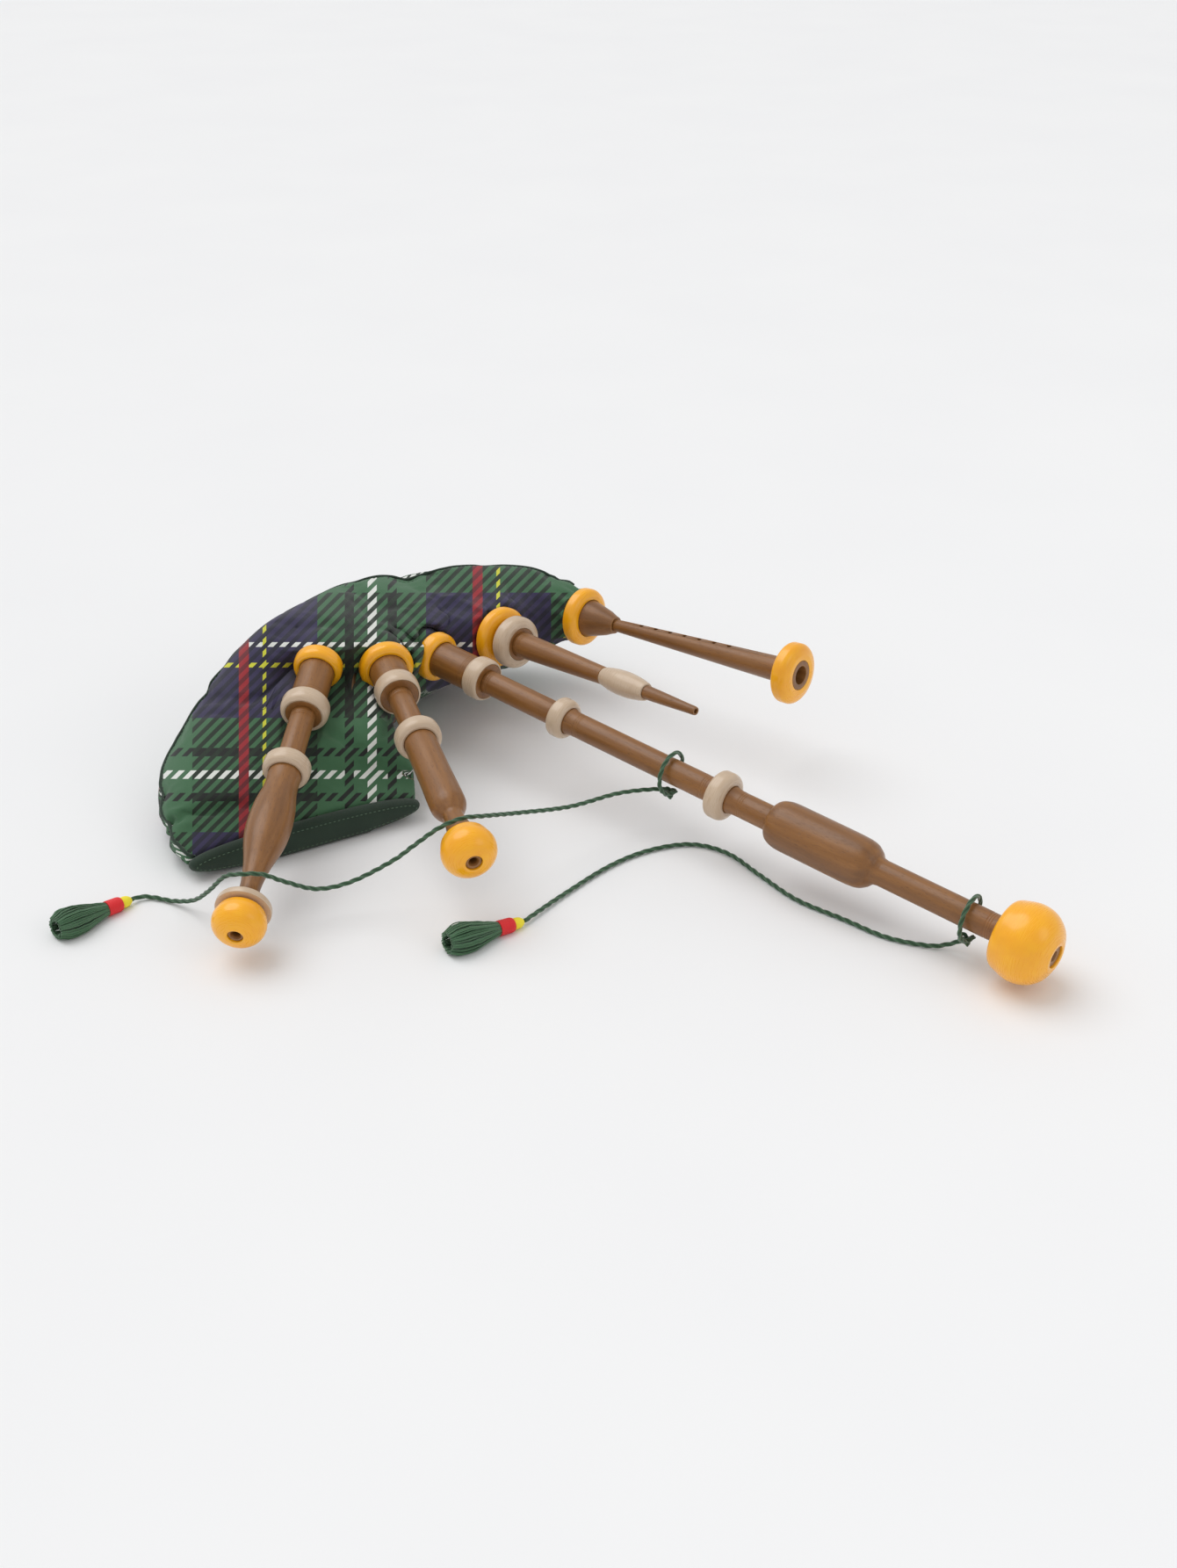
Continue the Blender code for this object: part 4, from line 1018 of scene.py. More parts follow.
place = PIPES["blowpipe"]["place"]
mouth = PIPES["blowpipe"]["mouth"] + SEAT
pin_end = BULB + (BULB_END - BULB) * 0.48
outline = [(mouth - TENON_LENGTH, BLOWPIPE_TENON), (mouth, BLOWPIPE_TENON), (mouth, BLOWPIPE_TUBE)]
outline += combing(mouth + 0.004, mouth + 0.009, BLOWPIPE_TUBE - 0.0002, 2)
outline += [(BULB - SEAT, BLOWPIPE_TUBE_END), (BULB - SEAT, BLOWPIPE_PIN), (pin_end, BLOWPIPE_PIN)]
inside = ((mouth - TENON_LENGTH, BLOWPIPE_BORE), (BULB - 0.030, THROAT), (pin_end, THROAT))
tube = lathe("blowpipe_turned_tube", outline, inside, place, offset=4.1)
finished(tube, "blowpipe", "turned_wood", oiled_wood, "blowpipe_tube")
outline = []
small = BLOWPIPE_TUBE_END - SEAT
for step in range(33):
    s = step / 32
    radius = small + (BULB_RADIUS - small) * math.sin(math.pi * s) ** 0.8
    outline.append((BULB + (BULB_END - BULB) * s, radius))
bulb = lathe("blowpipe_cream_bulb", outline, ((BULB, BLOWPIPE_PIN + FIT), (BULB_END, BLOWPIPE_PIN + FIT)),
             place, 0.0006)
finished(bulb, "blowpipe", "cream_mount", cream_ring, "blowpipe_bulb")
seat = BULB_END + SEAT
outline = [(pin_end + SEAT, BLOWPIPE_PIN), (seat, BLOWPIPE_PIN), (seat, MOUTHPIECE_RADIUS)]
outline += flowing(((seat + 0.001, MOUTHPIECE_RADIUS), (seat + 0.030, 0.0067),
                    (MOUTHPIECE_END - 0.014, 0.0053), (MOUTHPIECE_END - 0.004, TIP_RADIUS),
                    (MOUTHPIECE_END, TIP_RADIUS - 0.0006)))
inside = ((pin_end + SEAT, THROAT - 0.0006), (MOUTHPIECE_END, THROAT - 0.0016))
piece = lathe("blowpipe_mouthpiece", outline, inside, place, 0.0005, offset=5.7)
finished(piece, "mouthpiece", "turned_wood", oiled_wood, "mouthpiece")

# Chanter -----------------------------------------------------------------------------------------
# A conical wooden pipe with seven finger holes on top and one for the thumb below, a double reed in
# its head, and an amber-lacquered sole round its bell.
CHANTER_TENON = 0.0063
CHANTER_TENON_LENGTH = 0.030
CHANTER_TOP = 0.0072
CHANTER_LOW = 0.0145
CHANTER_FLARE = 0.0165
BELL_BORE = 0.0105
SOLE = 0.2870
SOLE_WIDTH = 0.0214
SOLE_RADIUS = 0.0345
FIRST_HOLE = 0.085
HOLE_SPACING = 0.021
HOLES = 7
HOLE_RADIUS = 0.0026

place = PIPES["chanter"]["place"]
mouth = PIPES["chanter"]["mouth"] + SEAT
start = mouth - CHANTER_TENON_LENGTH
chanter_end = SOLE + SOLE_WIDTH
outline = [(start, CHANTER_TENON), (mouth, CHANTER_TENON), (mouth, CHANTER_TOP),
           (SOLE - 0.004, CHANTER_LOW), (SOLE - 0.001, CHANTER_FLARE), (chanter_end, CHANTER_FLARE)]
inside = ((start, 0.0030), (start + 0.012, 0.0030), (start + 0.014, 0.0022), (SOLE - 0.020, 0.0068),
          (chanter_end, BELL_BORE))
body = lathe("chanter_turned_body", outline, inside, Matrix.Identity(4), 0.0008, 64, 3.3)
holes = bmesh.new()
for hole in range(HOLES + 1):
    t = FIRST_HOLE + hole * HOLE_SPACING
    side = 0.010
    if hole == HOLES:
        t = FIRST_HOLE - 0.5 * HOLE_SPACING
        side = -0.010
    turn = Matrix.Translation((0, side, t)) @ Matrix.Rotation(math.radians(90), 4, "X")
    bmesh.ops.create_cone(holes, cap_ends=True, segments=24, radius1=HOLE_RADIUS, radius2=HOLE_RADIUS,
                          depth=0.020, matrix=turn)
drill = place_in_scene("drill", bpy.data.meshes.new("drill"))
holes.to_mesh(drill.data)
holes.free()
boring = body.modifiers.new("holes", "BOOLEAN")
boring.object = drill
boring.operation = "DIFFERENCE"
bored = bpy.data.meshes.new_from_object(body.evaluated_get(bpy.context.evaluated_depsgraph_get()))
bpy.data.objects.remove(drill, do_unlink=True)
bpy.data.objects.remove(body, do_unlink=True)
bored.transform(place)
body = place_in_scene("chanter_turned_body", bored)
finished(body, "chanter", "turned_wood", oiled_wood, "chanter_body")
hole = CHANTER_FLARE + FIT
sole = lathe("chanter_lacquered_sole", ring_outline(SOLE, SOLE_WIDTH, SOLE_RADIUS, hole),
             ((SOLE, hole), (chanter_end, hole)), place, 0.0008, 72)
finished(sole, "chanter", "gold_mount", amber_lacquer, "chanter_sole")

# Hemp --------------------------------------------------------------------------------------------
# Waxed hemp thread wound on every pin and tenon, which holds the slides by friction and shows when
# a joint is pulled out. It is one fine spiral on each.
HEMP_PITCH = 0.0007
HEMP_THICKNESS = 0.00030
HEMP_MARGIN = 0.003

spiral_tree = bpy.data.node_groups.new("wound_thread", "GeometryNodeTree")
add_socket(spiral_tree, "Geometry", "Geometry")
radius_socket = add_socket(spiral_tree, "Radius", "Float", 0.01)
length_socket = add_socket(spiral_tree, "Length", "Float", 0.03)
turns_socket = add_socket(spiral_tree, "Turns", "Float", 40.0)
thread_socket = add_socket(spiral_tree, "Thread", "Float", 0.0003)
finish_socket = add_socket(spiral_tree, "Finish", "Material")
add_socket(spiral_tree, "Geometry", "Geometry", output=True)
nodes = spiral_tree.nodes
link = spiral_tree.links.new
given = nodes.new("NodeGroupInput").outputs
spiral = nodes.new("GeometryNodeCurveSpiral")
spiral.inputs["Resolution"].default_value = 28
link(given["Turns"], spiral.inputs["Rotations"])
link(given["Radius"], spiral.inputs["Start Radius"])
link(given["Radius"], spiral.inputs["End Radius"])
link(given["Length"], spiral.inputs["Height"])
section = nodes.new("GeometryNodeCurvePrimitiveCircle")
section.inputs["Resolution"].default_value = 5
link(given["Thread"], section.inputs["Radius"])
wound = nodes.new("GeometryNodeCurveToMesh")
link(spiral.outputs["Curve"], wound.inputs["Curve"])
link(section.outputs["Curve"], wound.inputs["Profile Curve"])
wound.inputs["Fill Caps"].default_value = True
solid = nodes.new("GeometryNodeRealizeInstances")
link(wound.outputs["Mesh"], solid.inputs["Geometry"])
waxed = nodes.new("GeometryNodeSetMaterial")
link(solid.outputs["Geometry"], waxed.inputs["Geometry"])
link(given["Finish"], waxed.inputs["Material"])
link(waxed.outputs["Geometry"], nodes.new("NodeGroupOutput").inputs["Geometry"])

waxed_hemp = thread_material("waxed_hemp", (196, 160, 92), (120, 84, 36), 2400.0, 0.0002, 0.1)
feet = {name: pipe["mouth"] + SEAT - TENON_LENGTH for name, pipe in PIPES.items()}
pins = {name: drone["top"] - SEAT for name, drone in TENORS.items()}
chanter_foot = PIPES["chanter"]["mouth"] + SEAT - CHANTER_TENON_LENGTH
windings = [("bass", "bass_bottom", feet["bass"], TENON_LENGTH, TENON_RADIUS),
            ("bass", "bass_bottom", BASS_MIDDLE - SEAT, PIN_LENGTH, PIN_RADIUS),
            ("bass", "bass_middle", BASS_TOP - SEAT, PIN_LENGTH, PIN_RADIUS),
            ("left_tenor", "left_tenor_bottom", feet["left_tenor"], TENON_LENGTH, TENON_RADIUS),
            ("left_tenor", "left_tenor_bottom", pins["left_tenor"], PIN_LENGTH, PIN_RADIUS),
            ("right_tenor", "right_tenor_bottom", feet["right_tenor"], TENON_LENGTH, TENON_RADIUS),
            ("right_tenor", "right_tenor_bottom", pins["right_tenor"], PIN_LENGTH, PIN_RADIUS),
            ("blowpipe", "blowpipe", feet["blowpipe"], TENON_LENGTH, BLOWPIPE_TENON),
            ("blowpipe", "mouthpiece", pin_end + SEAT, BULB_END - pin_end, BLOWPIPE_PIN),
            ("chanter", "chanter", chanter_foot, CHANTER_TENON_LENGTH, CHANTER_TENON)]
for pipe, body, start, length, radius in windings:
    run = length - 2 * HEMP_MARGIN
    empty_mesh = bpy.data.meshes.new("spool")
    place = PIPES[pipe]["place"] @ Matrix.Translation((0, 0, start + HEMP_MARGIN))
    kind = "pin" if radius == PIN_RADIUS else "tenon"
    hemp = grown(body + "_" + kind + "_hemp", empty_mesh, spiral_tree,
                 ((radius_socket, radius - HEMP_THICKNESS * 0.35), (length_socket, run),
                  (turns_socket, run / HEMP_PITCH), (thread_socket, HEMP_THICKNESS),
                  (finish_socket, waxed_hemp)), place)
    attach(hemp, body)

# Bag cover ---------------------------------------------------------------------------------------
# Two panels of tartan twill over the bladder, seamed along the back with a piped edge. The cloth is
# puffed out by the air in the bag, gathered round each stock behind its collar, kept clear of the
# drones, and lies flat on the table.
BAG_LINE = (
    (-0.2933, -0.0814, 0.130, 0.000, 0.034),
    (-0.3173, -0.0314, 0.140, 0.000, 0.064),
    (-0.3183, 0.0336, 0.129, 0.000, 0.100),
    (-0.3016, 0.1036, 0.102, 0.000, 0.160),
    (-0.2736, 0.1784, 0.094, 0.000, 0.162),
    (-0.2219, 0.2529, 0.086, 0.000, 0.156),
    (-0.1454, 0.2881, 0.071, 0.008, 0.156),
    (-0.0813, 0.3076, 0.061, 0.026, 0.148),
    (-0.0353, 0.3044, 0.047, 0.046, 0.140),
    (-0.0013, 0.2826, 0.041, 0.057, 0.142),
)
BAG_ROUNDNESS = 2.4
BAG_FLAT = 0.90
BAG_CORNERS = 72
BAG_RINGS = 72
COVER_INSET = 0.0085
COVER_VOXEL = 0.006
COVER_WALL = 0.0018
BOSS_WALL = 0.0060
HEM_HELD = 0.008
HEM_FREE = 0.040
SIMULATED_FRAMES = 20
PRESSURE = 4.0
SWELL_LIMIT = 0.013
TIE_BACK = 0.0125
TIE_REACH = 0.036
FOLD_COUNT = 11
FOLD_HEIGHT = 0.0016
FOLD_REACH = 0.020
NECK_RADIUS = 0.0330
NECK_TAPER = 0.040
HATCH_PITCH = 0.0126
WEAVE_PITCH = 0.0013
TARTAN_GREEN = (65, 109, 74)
TARTAN_NAVY = (55, 49, 83)
TARTAN_NIGHT = (37, 36, 54)
TARTAN_DARK = (31, 46, 32)
TARTAN_BLACK = (24, 28, 24)
TARTAN_RED = (160, 40, 48)
TARTAN_WINE = (112, 34, 42)
TARTAN_WHITE = (236, 238, 232)
TARTAN_YELLOW = (214, 214, 60)
TRIM_GREEN = (40, 63, 46)
TRIM_SHADE = (24, 42, 30)


def bag_row(place):
    """x, y, half width, lowest and highest point of the bag, at a place from 0 to 1 along it."""
    count = len(BAG_LINE)
    place = place * (count - 1)
    index = min(int(place), count - 2)
    s = place - index
    near = [BAG_LINE[min(max(index + step, 0), count - 1)] for step in (-1, 0, 1, 2)]
    row = []
    for before, start, end, after in zip(*near):
        row.append(0.5 * (2 * start + (end - before) * s
                          + (2 * before - 5 * start + 4 * end - after) * s ** 2
                          + (3 * start - before - 3 * end + after) * s ** 3))
    row[3] = max(row[3], 0.0)
    return row


def bag_frame(place):
    """The middle of the bag's cross-section, its directions along and across, and its half sizes."""
    x, y, half_width, low, high = bag_row(place)
    before = bag_row(max(place - 0.03, 0.0))
    after = bag_row(min(place + 0.03, 1.0))
    along = Vector((after[0] - before[0], after[1] - before[1], 0)).normalized()
    across = Vector((-along.y, along.x, 0))
    return Vector((x, y, (low + high) / 2)), along, across, half_width, (high - low) / 2


def bag_ring(place, inset, advance, corners=BAG_CORNERS):
    """One cross-section of the bag, shrunk by inset and moved along it by advance."""
    middle, along, across, half_width, half_height = bag_frame(place)
    power = 2 / BAG_ROUNDNESS
    ring = []
    for step in range(corners):
        angle = math.tau * (step + 0.5) / corners
        side = math.copysign(abs(math.cos(angle)) ** power, math.cos(angle))
        rise = math.copysign(abs(math.sin(angle)) ** power, math.sin(angle))
        if rise < -BAG_FLAT:
            rise = -1.0
        ring.append(middle + along * advance + across * side * (half_width - inset)
                    + Vector((0, 0, rise * (half_height - inset))))
    return ring


def bag_loft(name, rings, smooth=True):
    """A closed skin over a row of rings, its ends filled towards a point in their middle."""
    corners = len(rings[0])
    points = [corner for ring in rings for corner in ring]
    faces = []
    for ring in range(len(rings) - 1):
        near = ring * corners
        for step in range(corners):
            after = (step + 1) % corners
            faces.append((near + step, near + after, near + corners + after, near + corners + step))
    for ring, turned_round in ((0, True), (len(rings) - 1, False)):
        centre = len(points)
        points.append(sum(rings[ring], Vector()) / corners)
        for step in range(corners):
            pair = (ring * corners + step, ring * corners + (step + 1) % corners)
            faces.append((*(reversed(pair) if turned_round else pair), centre))
    mesh = mesh_of(name, points, faces, smooth)
    fix = bmesh.new()
    fix.from_mesh(mesh)
    bmesh.ops.recalc_face_normals(fix, faces=fix.faces)
    fix.to_mesh(mesh)
    fix.free()
    return mesh


def settled_mesh(piece):
    """The piece's mesh as its modifiers leave it, with the modifiers gone."""
    made = bpy.data.meshes.new_from_object(piece.evaluated_get(bpy.context.evaluated_depsgraph_get()))
    piece.modifiers.clear()
    return made


def eased_step(value, low, high):
    s = min(max((value - low) / (high - low), 0.0), 1.0)
    return s * s * (3 - 2 * s)


rings = []
for step in range(BAG_RINGS):
    place = step / (BAG_RINGS - 1)
    rings.append(bag_ring(place, COVER_INSET * eased_step(place, 0.16, 0.38) - 0.0015, 0.0))
# Each stock pushes out a short sleeve of cloth, which the remesh joins to the bag
form = bmesh.new()
form.from_mesh(bag_loft("cover_form", rings))
for name, pipe in PIPES.items():
    if name == "chanter":
        continue
    large = pipe["radius"] + BOSS_WALL
    boss = ((-0.052, large * 0.55), (-0.046, large * 0.86), (-0.036, large), (-0.018, large),
            (-TIE_BACK, large * 0.90))
    boss = lathe("boss", boss, (), pipe["place"], 0.004, 36)
    form.from_mesh(boss.data)
    bpy.data.objects.remove(boss)
cover_form = bpy.data.meshes.new("cover_form")
form.to_mesh(cover_form)
form.free()
cover = place_in_scene("tartan_bag_cover", cover_form)
remesh = cover.modifiers.new("remesh", "REMESH")
remesh.mode = "VOXEL"
remesh.voxel_size = COVER_VOXEL
cover.data = settled_mesh(cover)

inverse = {name: pipe["place"].inverted() for name, pipe in PIPES.items()}
hem_middle, hem_along = bag_frame(0.0)[:2]
tied = cover.vertex_groups.new(name="tied")
start_points = [vertex.co.copy() for vertex in cover.data.vertices]
for index, point in enumerate(start_points):
    hold = 1.0 - eased_step((point - hem_middle).dot(hem_along), HEM_HELD, HEM_FREE)
    if point.z < 0.003:
        hold = max(hold, 0.9)
    for name, pipe in PIPES.items():
        local = inverse[name] @ point
        if -0.05 < local.z < 0.05:
            hold = max(hold, 1.0 - eased_step(math.hypot(local.x, local.y), pipe["collar"] + 0.002,
                                              pipe["collar"] + 0.012))
    if hold > 0.02:
        tied.add([index], hold, "REPLACE")
cloth = cover.modifiers.new("cloth", "CLOTH")
cloth.settings.vertex_group_mass = "tied"
cloth.settings.use_pressure = True
cloth.settings.uniform_pressure_force = PRESSURE
cloth.settings.effector_weights.gravity = 0
cloth.settings.shrink_min = -0.05
cloth.settings.bending_stiffness = 0.3
cloth.point_cache.frame_end = SIMULATED_FRAMES
for step in range(1, SIMULATED_FRAMES + 1):
    bpy.context.scene.frame_set(step)
cover.data = settled_mesh(cover)
for vertex, start in zip(cover.data.vertices, start_points):
    move = vertex.co - start
    if move.length > SWELL_LIMIT:
        vertex.co = start + move.normalized() * SWELL_LIMIT
cover.vertex_groups.clear()
subdivide = cover.modifiers.new("subdivide", "SUBSURF")
subdivide.levels = 1
subdivide.render_levels = 1
cover.data = settled_mesh(cover)

# The cloth is drawn up to each collar in small folds, lies clear of every pipe, and ends in a hole
cover.data.calc_loop_triangles()
normals = [vertex.normal.copy() for vertex in cover.data.vertices]
for vertex, normal in zip(cover.data.vertices, normals):
    for name, pipe in PIPES.items():
        local = inverse[name] @ vertex.co
        across = math.hypot(local.x, local.y)
        collar = pipe["collar"]
        facing = (inverse[name].to_3x3() @ normal).z
        if name == "chanter":
            if -0.06 < local.z < 0.06 and across < 0.075:
                pull = eased_step(local.z, -NECK_TAPER - TIE_BACK, -TIE_BACK)
                size = 1 + (NECK_RADIUS / 0.0425 - 1) * pull
                local.x *= size
                local.y *= size
                across *= size
        elif -0.055 < local.z < 0.065 and across < collar + TIE_REACH and facing > -0.3:
            pull = 1.0 - eased_step(across, collar + 0.002, collar + TIE_REACH)
            if local.z < -TIE_BACK:
                pull *= eased_step(facing, 0.2, 0.7)
            local.z += (-TIE_BACK - local.z) * pull
        if -0.05 < local.z < 0.05 and across < collar + 0.06:
            angle = math.atan2(local.y, local.x)
            near = math.exp(-max(across - collar, 0.0) / FOLD_REACH)
            fold = FOLD_HEIGHT * near * math.cos(FOLD_COUNT * angle + len(name))
            if name == "chanter":
                near = eased_step(local.z, -0.045, -0.020)
                local.x += local.x / max(across, 0.001) * fold * near
                local.y += local.y / max(across, 0.001) * fold * near
            else:
                local.z += min(fold, 0.0)
        clearance = pipe.get("mount", 0.03) + 0.003
        if 0.0 < local.z < 0.36 and across < clearance and name != "chanter":
            local.x *= clearance / max(across, 0.001)
            local.y *= clearance / max(across, 0.001)
        vertex.co = pipe["place"] @ local
    vertex.co.z = max(vertex.co.z, 0.0004)

shape = bmesh.new()
shape.from_mesh(cover.data)
for name, pipe in PIPES.items():
    hole = pipe["radius"] + 0.0006
    spent = []
    for vertex in shape.verts:
        local = inverse[name] @ vertex.co
        across = math.hypot(local.x, local.y)
        if name == "chanter":
            gone = local.z > -TIE_BACK + 0.001 and across < 0.060
        else:
            gone = -0.030 < local.z < 0.030 and across < hole
        if gone:
            spent.append(vertex)
    bmesh.ops.delete(shape, geom=spent, context="VERTS")
    for vertex in shape.verts:
        if not vertex.is_boundary:
            continue
        local = inverse[name] @ vertex.co
        across = math.hypot(local.x, local.y)
        if name == "chanter" and across < 0.06 and local.z > -0.04:
            local.x *= NECK_RADIUS / across
            local.y *= NECK_RADIUS / across
            local.z = -TIE_BACK + 0.0012
            vertex.co = pipe["place"] @ local
        elif name != "chanter" and across < hole + 0.008 and abs(local.z) < 0.03:
            local.x *= hole / across
            local.y *= hole / across
            vertex.co = pipe["place"] @ local
loose = [vertex for vertex in shape.verts if not vertex.link_faces]
bmesh.ops.delete(shape, geom=loose, context="VERTS")
shape.to_mesh(cover.data)
shape.free()
cover.data.shade_smooth()

# Where each point lies on the bag: how far along, and at what angle round the cross-section
SEAM_PLACES = 240
places = [bag_frame(step / SEAM_PLACES) for step in range(SEAM_PLACES + 1)]
outer_run = [0.0]
for (near, _, near_across, near_width, _), (far, _, far_across, far_width, _) in zip(places, places[1:]):
    stride = (far + far_across * far_width) - (near + near_across * near_width)
    outer_run.append(outer_run[-1] + stride.length)
line = KDTree(len(places))
for index, (middle, _, _, _, _) in enumerate(places):
    line.insert((middle.x, middle.y, 0), index)
line.balance()


def seam_angles(index):
    along = places[index][1]
    return math.radians(20 + 35 * max(along.x, 0.0)), math.radians(165 + 70 * max(along.x, 0.0))


front_panel = cover.data.attributes.new("front_panel", "FLOAT", "POINT")
front_place = []
back_place = []
for vertex in cover.data.vertices:
    point = vertex.co
    index = line.find((point.x, point.y, 0))[1]
    middle, along, across, half_width, half_height = places[index]
    side = (point - middle).dot(across) / half_width
    rise = (point.z - middle.z) / half_height
    angle = math.atan2(rise, side)
    if angle < math.radians(-90):
        angle += math.tau
    first, last = seam_angles(index)
    radius = (half_width + half_height) / 2
    front_panel.data[vertex.index].value = min(angle - first, last - angle) * radius
    back_place.append((outer_run[index], (first - angle) * radius))
    offset = point - VIEW_TARGET
    depth = VIEW_DISTANCE + math.cos(VIEW_DROP) * offset.y - math.sin(VIEW_DROP) * offset.z
    front_place.append((VIEW_DISTANCE * offset.x / depth, VIEW_DISTANCE * (
        math.sin(VIEW_DROP) * offset.y + math.cos(VIEW_DROP) * offset.z) / depth))
for name, spots in (("front_cloth", front_place), ("back_cloth", back_place)):
    layer = cover.data.uv_layers.new(name=name)
    for loop in cover.data.loops:
        layer.data[loop.index].uv = spots[loop.vertex_index]

# Thread-level weave, shared by the tartan and the trim: fine diagonal ribs and a little unevenness
weave = bpy.data.node_groups.new("weave", "ShaderNodeTree")
add_socket(weave, "Vector", "Vector")
add_socket(weave, "Pitch", "Float", 0.0012)
add_socket(weave, "Shade", "Float", output=True)
add_socket(weave, "Height", "Float", output=True)
nodes = weave.nodes
link = weave.links.new
given = nodes.new("NodeGroupInput").outputs
result = nodes.new("NodeGroupOutput").inputs
parts = made_node(nodes, link, "ShaderNodeSeparateXYZ", Vector=given["Vector"])
diagonal = math_node(nodes, link, "ADD", parts.outputs["X"], parts.outputs["Y"])
rib = math_node(nodes, link, "SINE", math_node(nodes, link, "MULTIPLY", math_node(
    nodes, link, "DIVIDE", diagonal, given["Pitch"]), math.tau))
thread = math_node(nodes, link, "SINE", math_node(nodes, link, "MULTIPLY", math_node(
    nodes, link, "DIVIDE", parts.outputs["X"], given["Pitch"]), math.tau * 2))
nap = made_node(nodes, link, "ShaderNodeTexNoise", Vector=given["Vector"], Scale=620.0, Detail=3.0)
height = math_node(nodes, link, "MULTIPLY_ADD", thread, 0.35, rib)
height = math_node(nodes, link, "MULTIPLY_ADD", nap.outputs["Fac"], 1.4, height)
link(height, result["Height"])
cloudy = made_node(nodes, link, "ShaderNodeTexNoise", Vector=given["Vector"], Scale=14.0, Detail=2.0)
# Shade is uneven cloudy tone and nap, with painted shade darkening the troughs between the ribs
shade = math_node(nodes, link, "MULTIPLY_ADD", rib, 0.10, cloudy.outputs["Fac"])
link(math_node(nodes, link, "MULTIPLY_ADD", nap.outputs["Fac"], 0.35, shade), result["Shade"])

tartan, nodes, link, shader = start_material("tartan", 0.85)
front = nodes.new("ShaderNodeUVMap")
front.uv_map = "front_cloth"
back = nodes.new("ShaderNodeUVMap")
back.uv_map = "back_cloth"
panel = nodes.new("ShaderNodeAttribute")
panel.attribute_name = "front_panel"
is_front = math_node(nodes, link, "GREATER_THAN", panel.outputs["Fac"], 0.0)
cloth_place = nodes.new("ShaderNodeMix")
cloth_place.data_type = "VECTOR"
link(is_front, cloth_place.inputs["Factor"])
link(back.outputs["UV"], cloth_place.inputs[4])
link(front.outputs["UV"], cloth_place.inputs[5])
cloth_vector = cloth_place.outputs[1]
parts = made_node(nodes, link, "ShaderNodeSeparateXYZ", Vector=cloth_vector)
along_cloth = parts.outputs["X"]
up_cloth = parts.outputs["Y"]


def sett(along, start, repeat, grounds, lines):
    """Constant colour bands along one direction of the tartan: a mask of the ground, and its lines."""
    phase = math_node(nodes, link, "FRACT", math_node(nodes, link, "DIVIDE", math_node(
        nodes, link, "SUBTRACT", along, start), repeat))
    ground = nodes.new("ShaderNodeValToRGB")
    ground.color_ramp.interpolation = "CONSTANT"
    ground.color_ramp.elements[0].color = (0, 0, 0, 1)
    ground.color_ramp.elements[1].position = grounds / repeat
    ground.color_ramp.elements[1].color = (1, 1, 1, 1)
    link(phase, ground.inputs["Fac"])
    bands = nodes.new("ShaderNodeValToRGB")
    ramp = bands.color_ramp
    ramp.interpolation = "CONSTANT"
    ramp.elements.remove(ramp.elements[1])
    ramp.elements[0].color = (0, 0, 0, 0)
    for middle, width, colour in sorted(lines):
        middle = (middle - start) / repeat % 1.0
        first = ramp.elements.new(middle - width / repeat / 2)
        first.color = paint(*colour)
        last = ramp.elements.new(middle + width / repeat / 2)
        last.color = (0, 0, 0, 0)
    link(phase, bands.inputs["Fac"])
    return ground.outputs["Color"], bands.outputs["Color"], bands.outputs["Alpha"], phase


# From the left the warp is navy with a red and a thin yellow line, then green with two black lines
# and a white one between; from the top the weft repeats that with thin white for the red.
WARP_START = -0.4248
WARP_REPEAT = 0.2506
WARP_NAVY = 0.1332
RED_PLACE = -0.3696
RED_WIDTH = 0.0108
WEFT_START = -0.2052
WEFT_REPEAT = 0.2568
WEFT_NAVY = 0.1344
warp_lines = [(RED_PLACE, RED_WIDTH, TARTAN_RED), (-0.3480, 0.0044, TARTAN_YELLOW),
              (-0.2568, 0.0100, TARTAN_BLACK), (-0.2328, 0.0096, TARTAN_WHITE),
              (-0.2112, 0.0100, TARTAN_BLACK)]
warp_ground, warp_colour, warp_mask, warp_phase = sett(along_cloth, WARP_START, WARP_REPEAT, WARP_NAVY,
                                                       warp_lines)
down_cloth = math_node(nodes, link, "MULTIPLY", up_cloth, -1.0)
weft_lines = [(-0.1500, 0.0050, TARTAN_WHITE), (-0.1284, 0.0050, TARTAN_YELLOW),
              (-0.0348, 0.0086, TARTAN_BLACK), (-0.0108, 0.0096, TARTAN_WHITE),
              (0.0132, 0.0086, TARTAN_BLACK)]
weft_ground, weft_colour, weft_mask = sett(down_cloth, WEFT_START, WEFT_REPEAT, WEFT_NAVY, weft_lines)[:3]
slant = math_node(nodes, link, "SUBTRACT", along_cloth, up_cloth)
hatch = math_node(nodes, link, "LESS_THAN", math_node(nodes, link, "FRACT", math_node(
    nodes, link, "DIVIDE", slant, HATCH_PITCH)), 0.5)
either = math_node(nodes, link, "MAXIMUM", warp_ground, weft_ground)
both = math_node(nodes, link, "MINIMUM", warp_ground, weft_ground)
raised = colour_mix(nodes, link, either, paint(*TARTAN_NAVY), paint(*TARTAN_GREEN))
sunk = colour_mix(nodes, link, either, paint(*TARTAN_NIGHT), paint(*TARTAN_DARK))
sunk = colour_mix(nodes, link, both, sunk, paint(*TARTAN_GREEN))
colour = colour_mix(nodes, link, hatch, sunk, raised)
red_from = (RED_PLACE - WARP_START - RED_WIDTH / 2) / WARP_REPEAT
red_to = (RED_PLACE - WARP_START + RED_WIDTH / 2) / WARP_REPEAT
in_red = math_node(nodes, link, "MULTIPLY", math_node(nodes, link, "GREATER_THAN", warp_phase, red_from),
                   math_node(nodes, link, "LESS_THAN", warp_phase, red_to))
colour = colour_mix(nodes, link, in_red, colour, paint(*TARTAN_WINE))
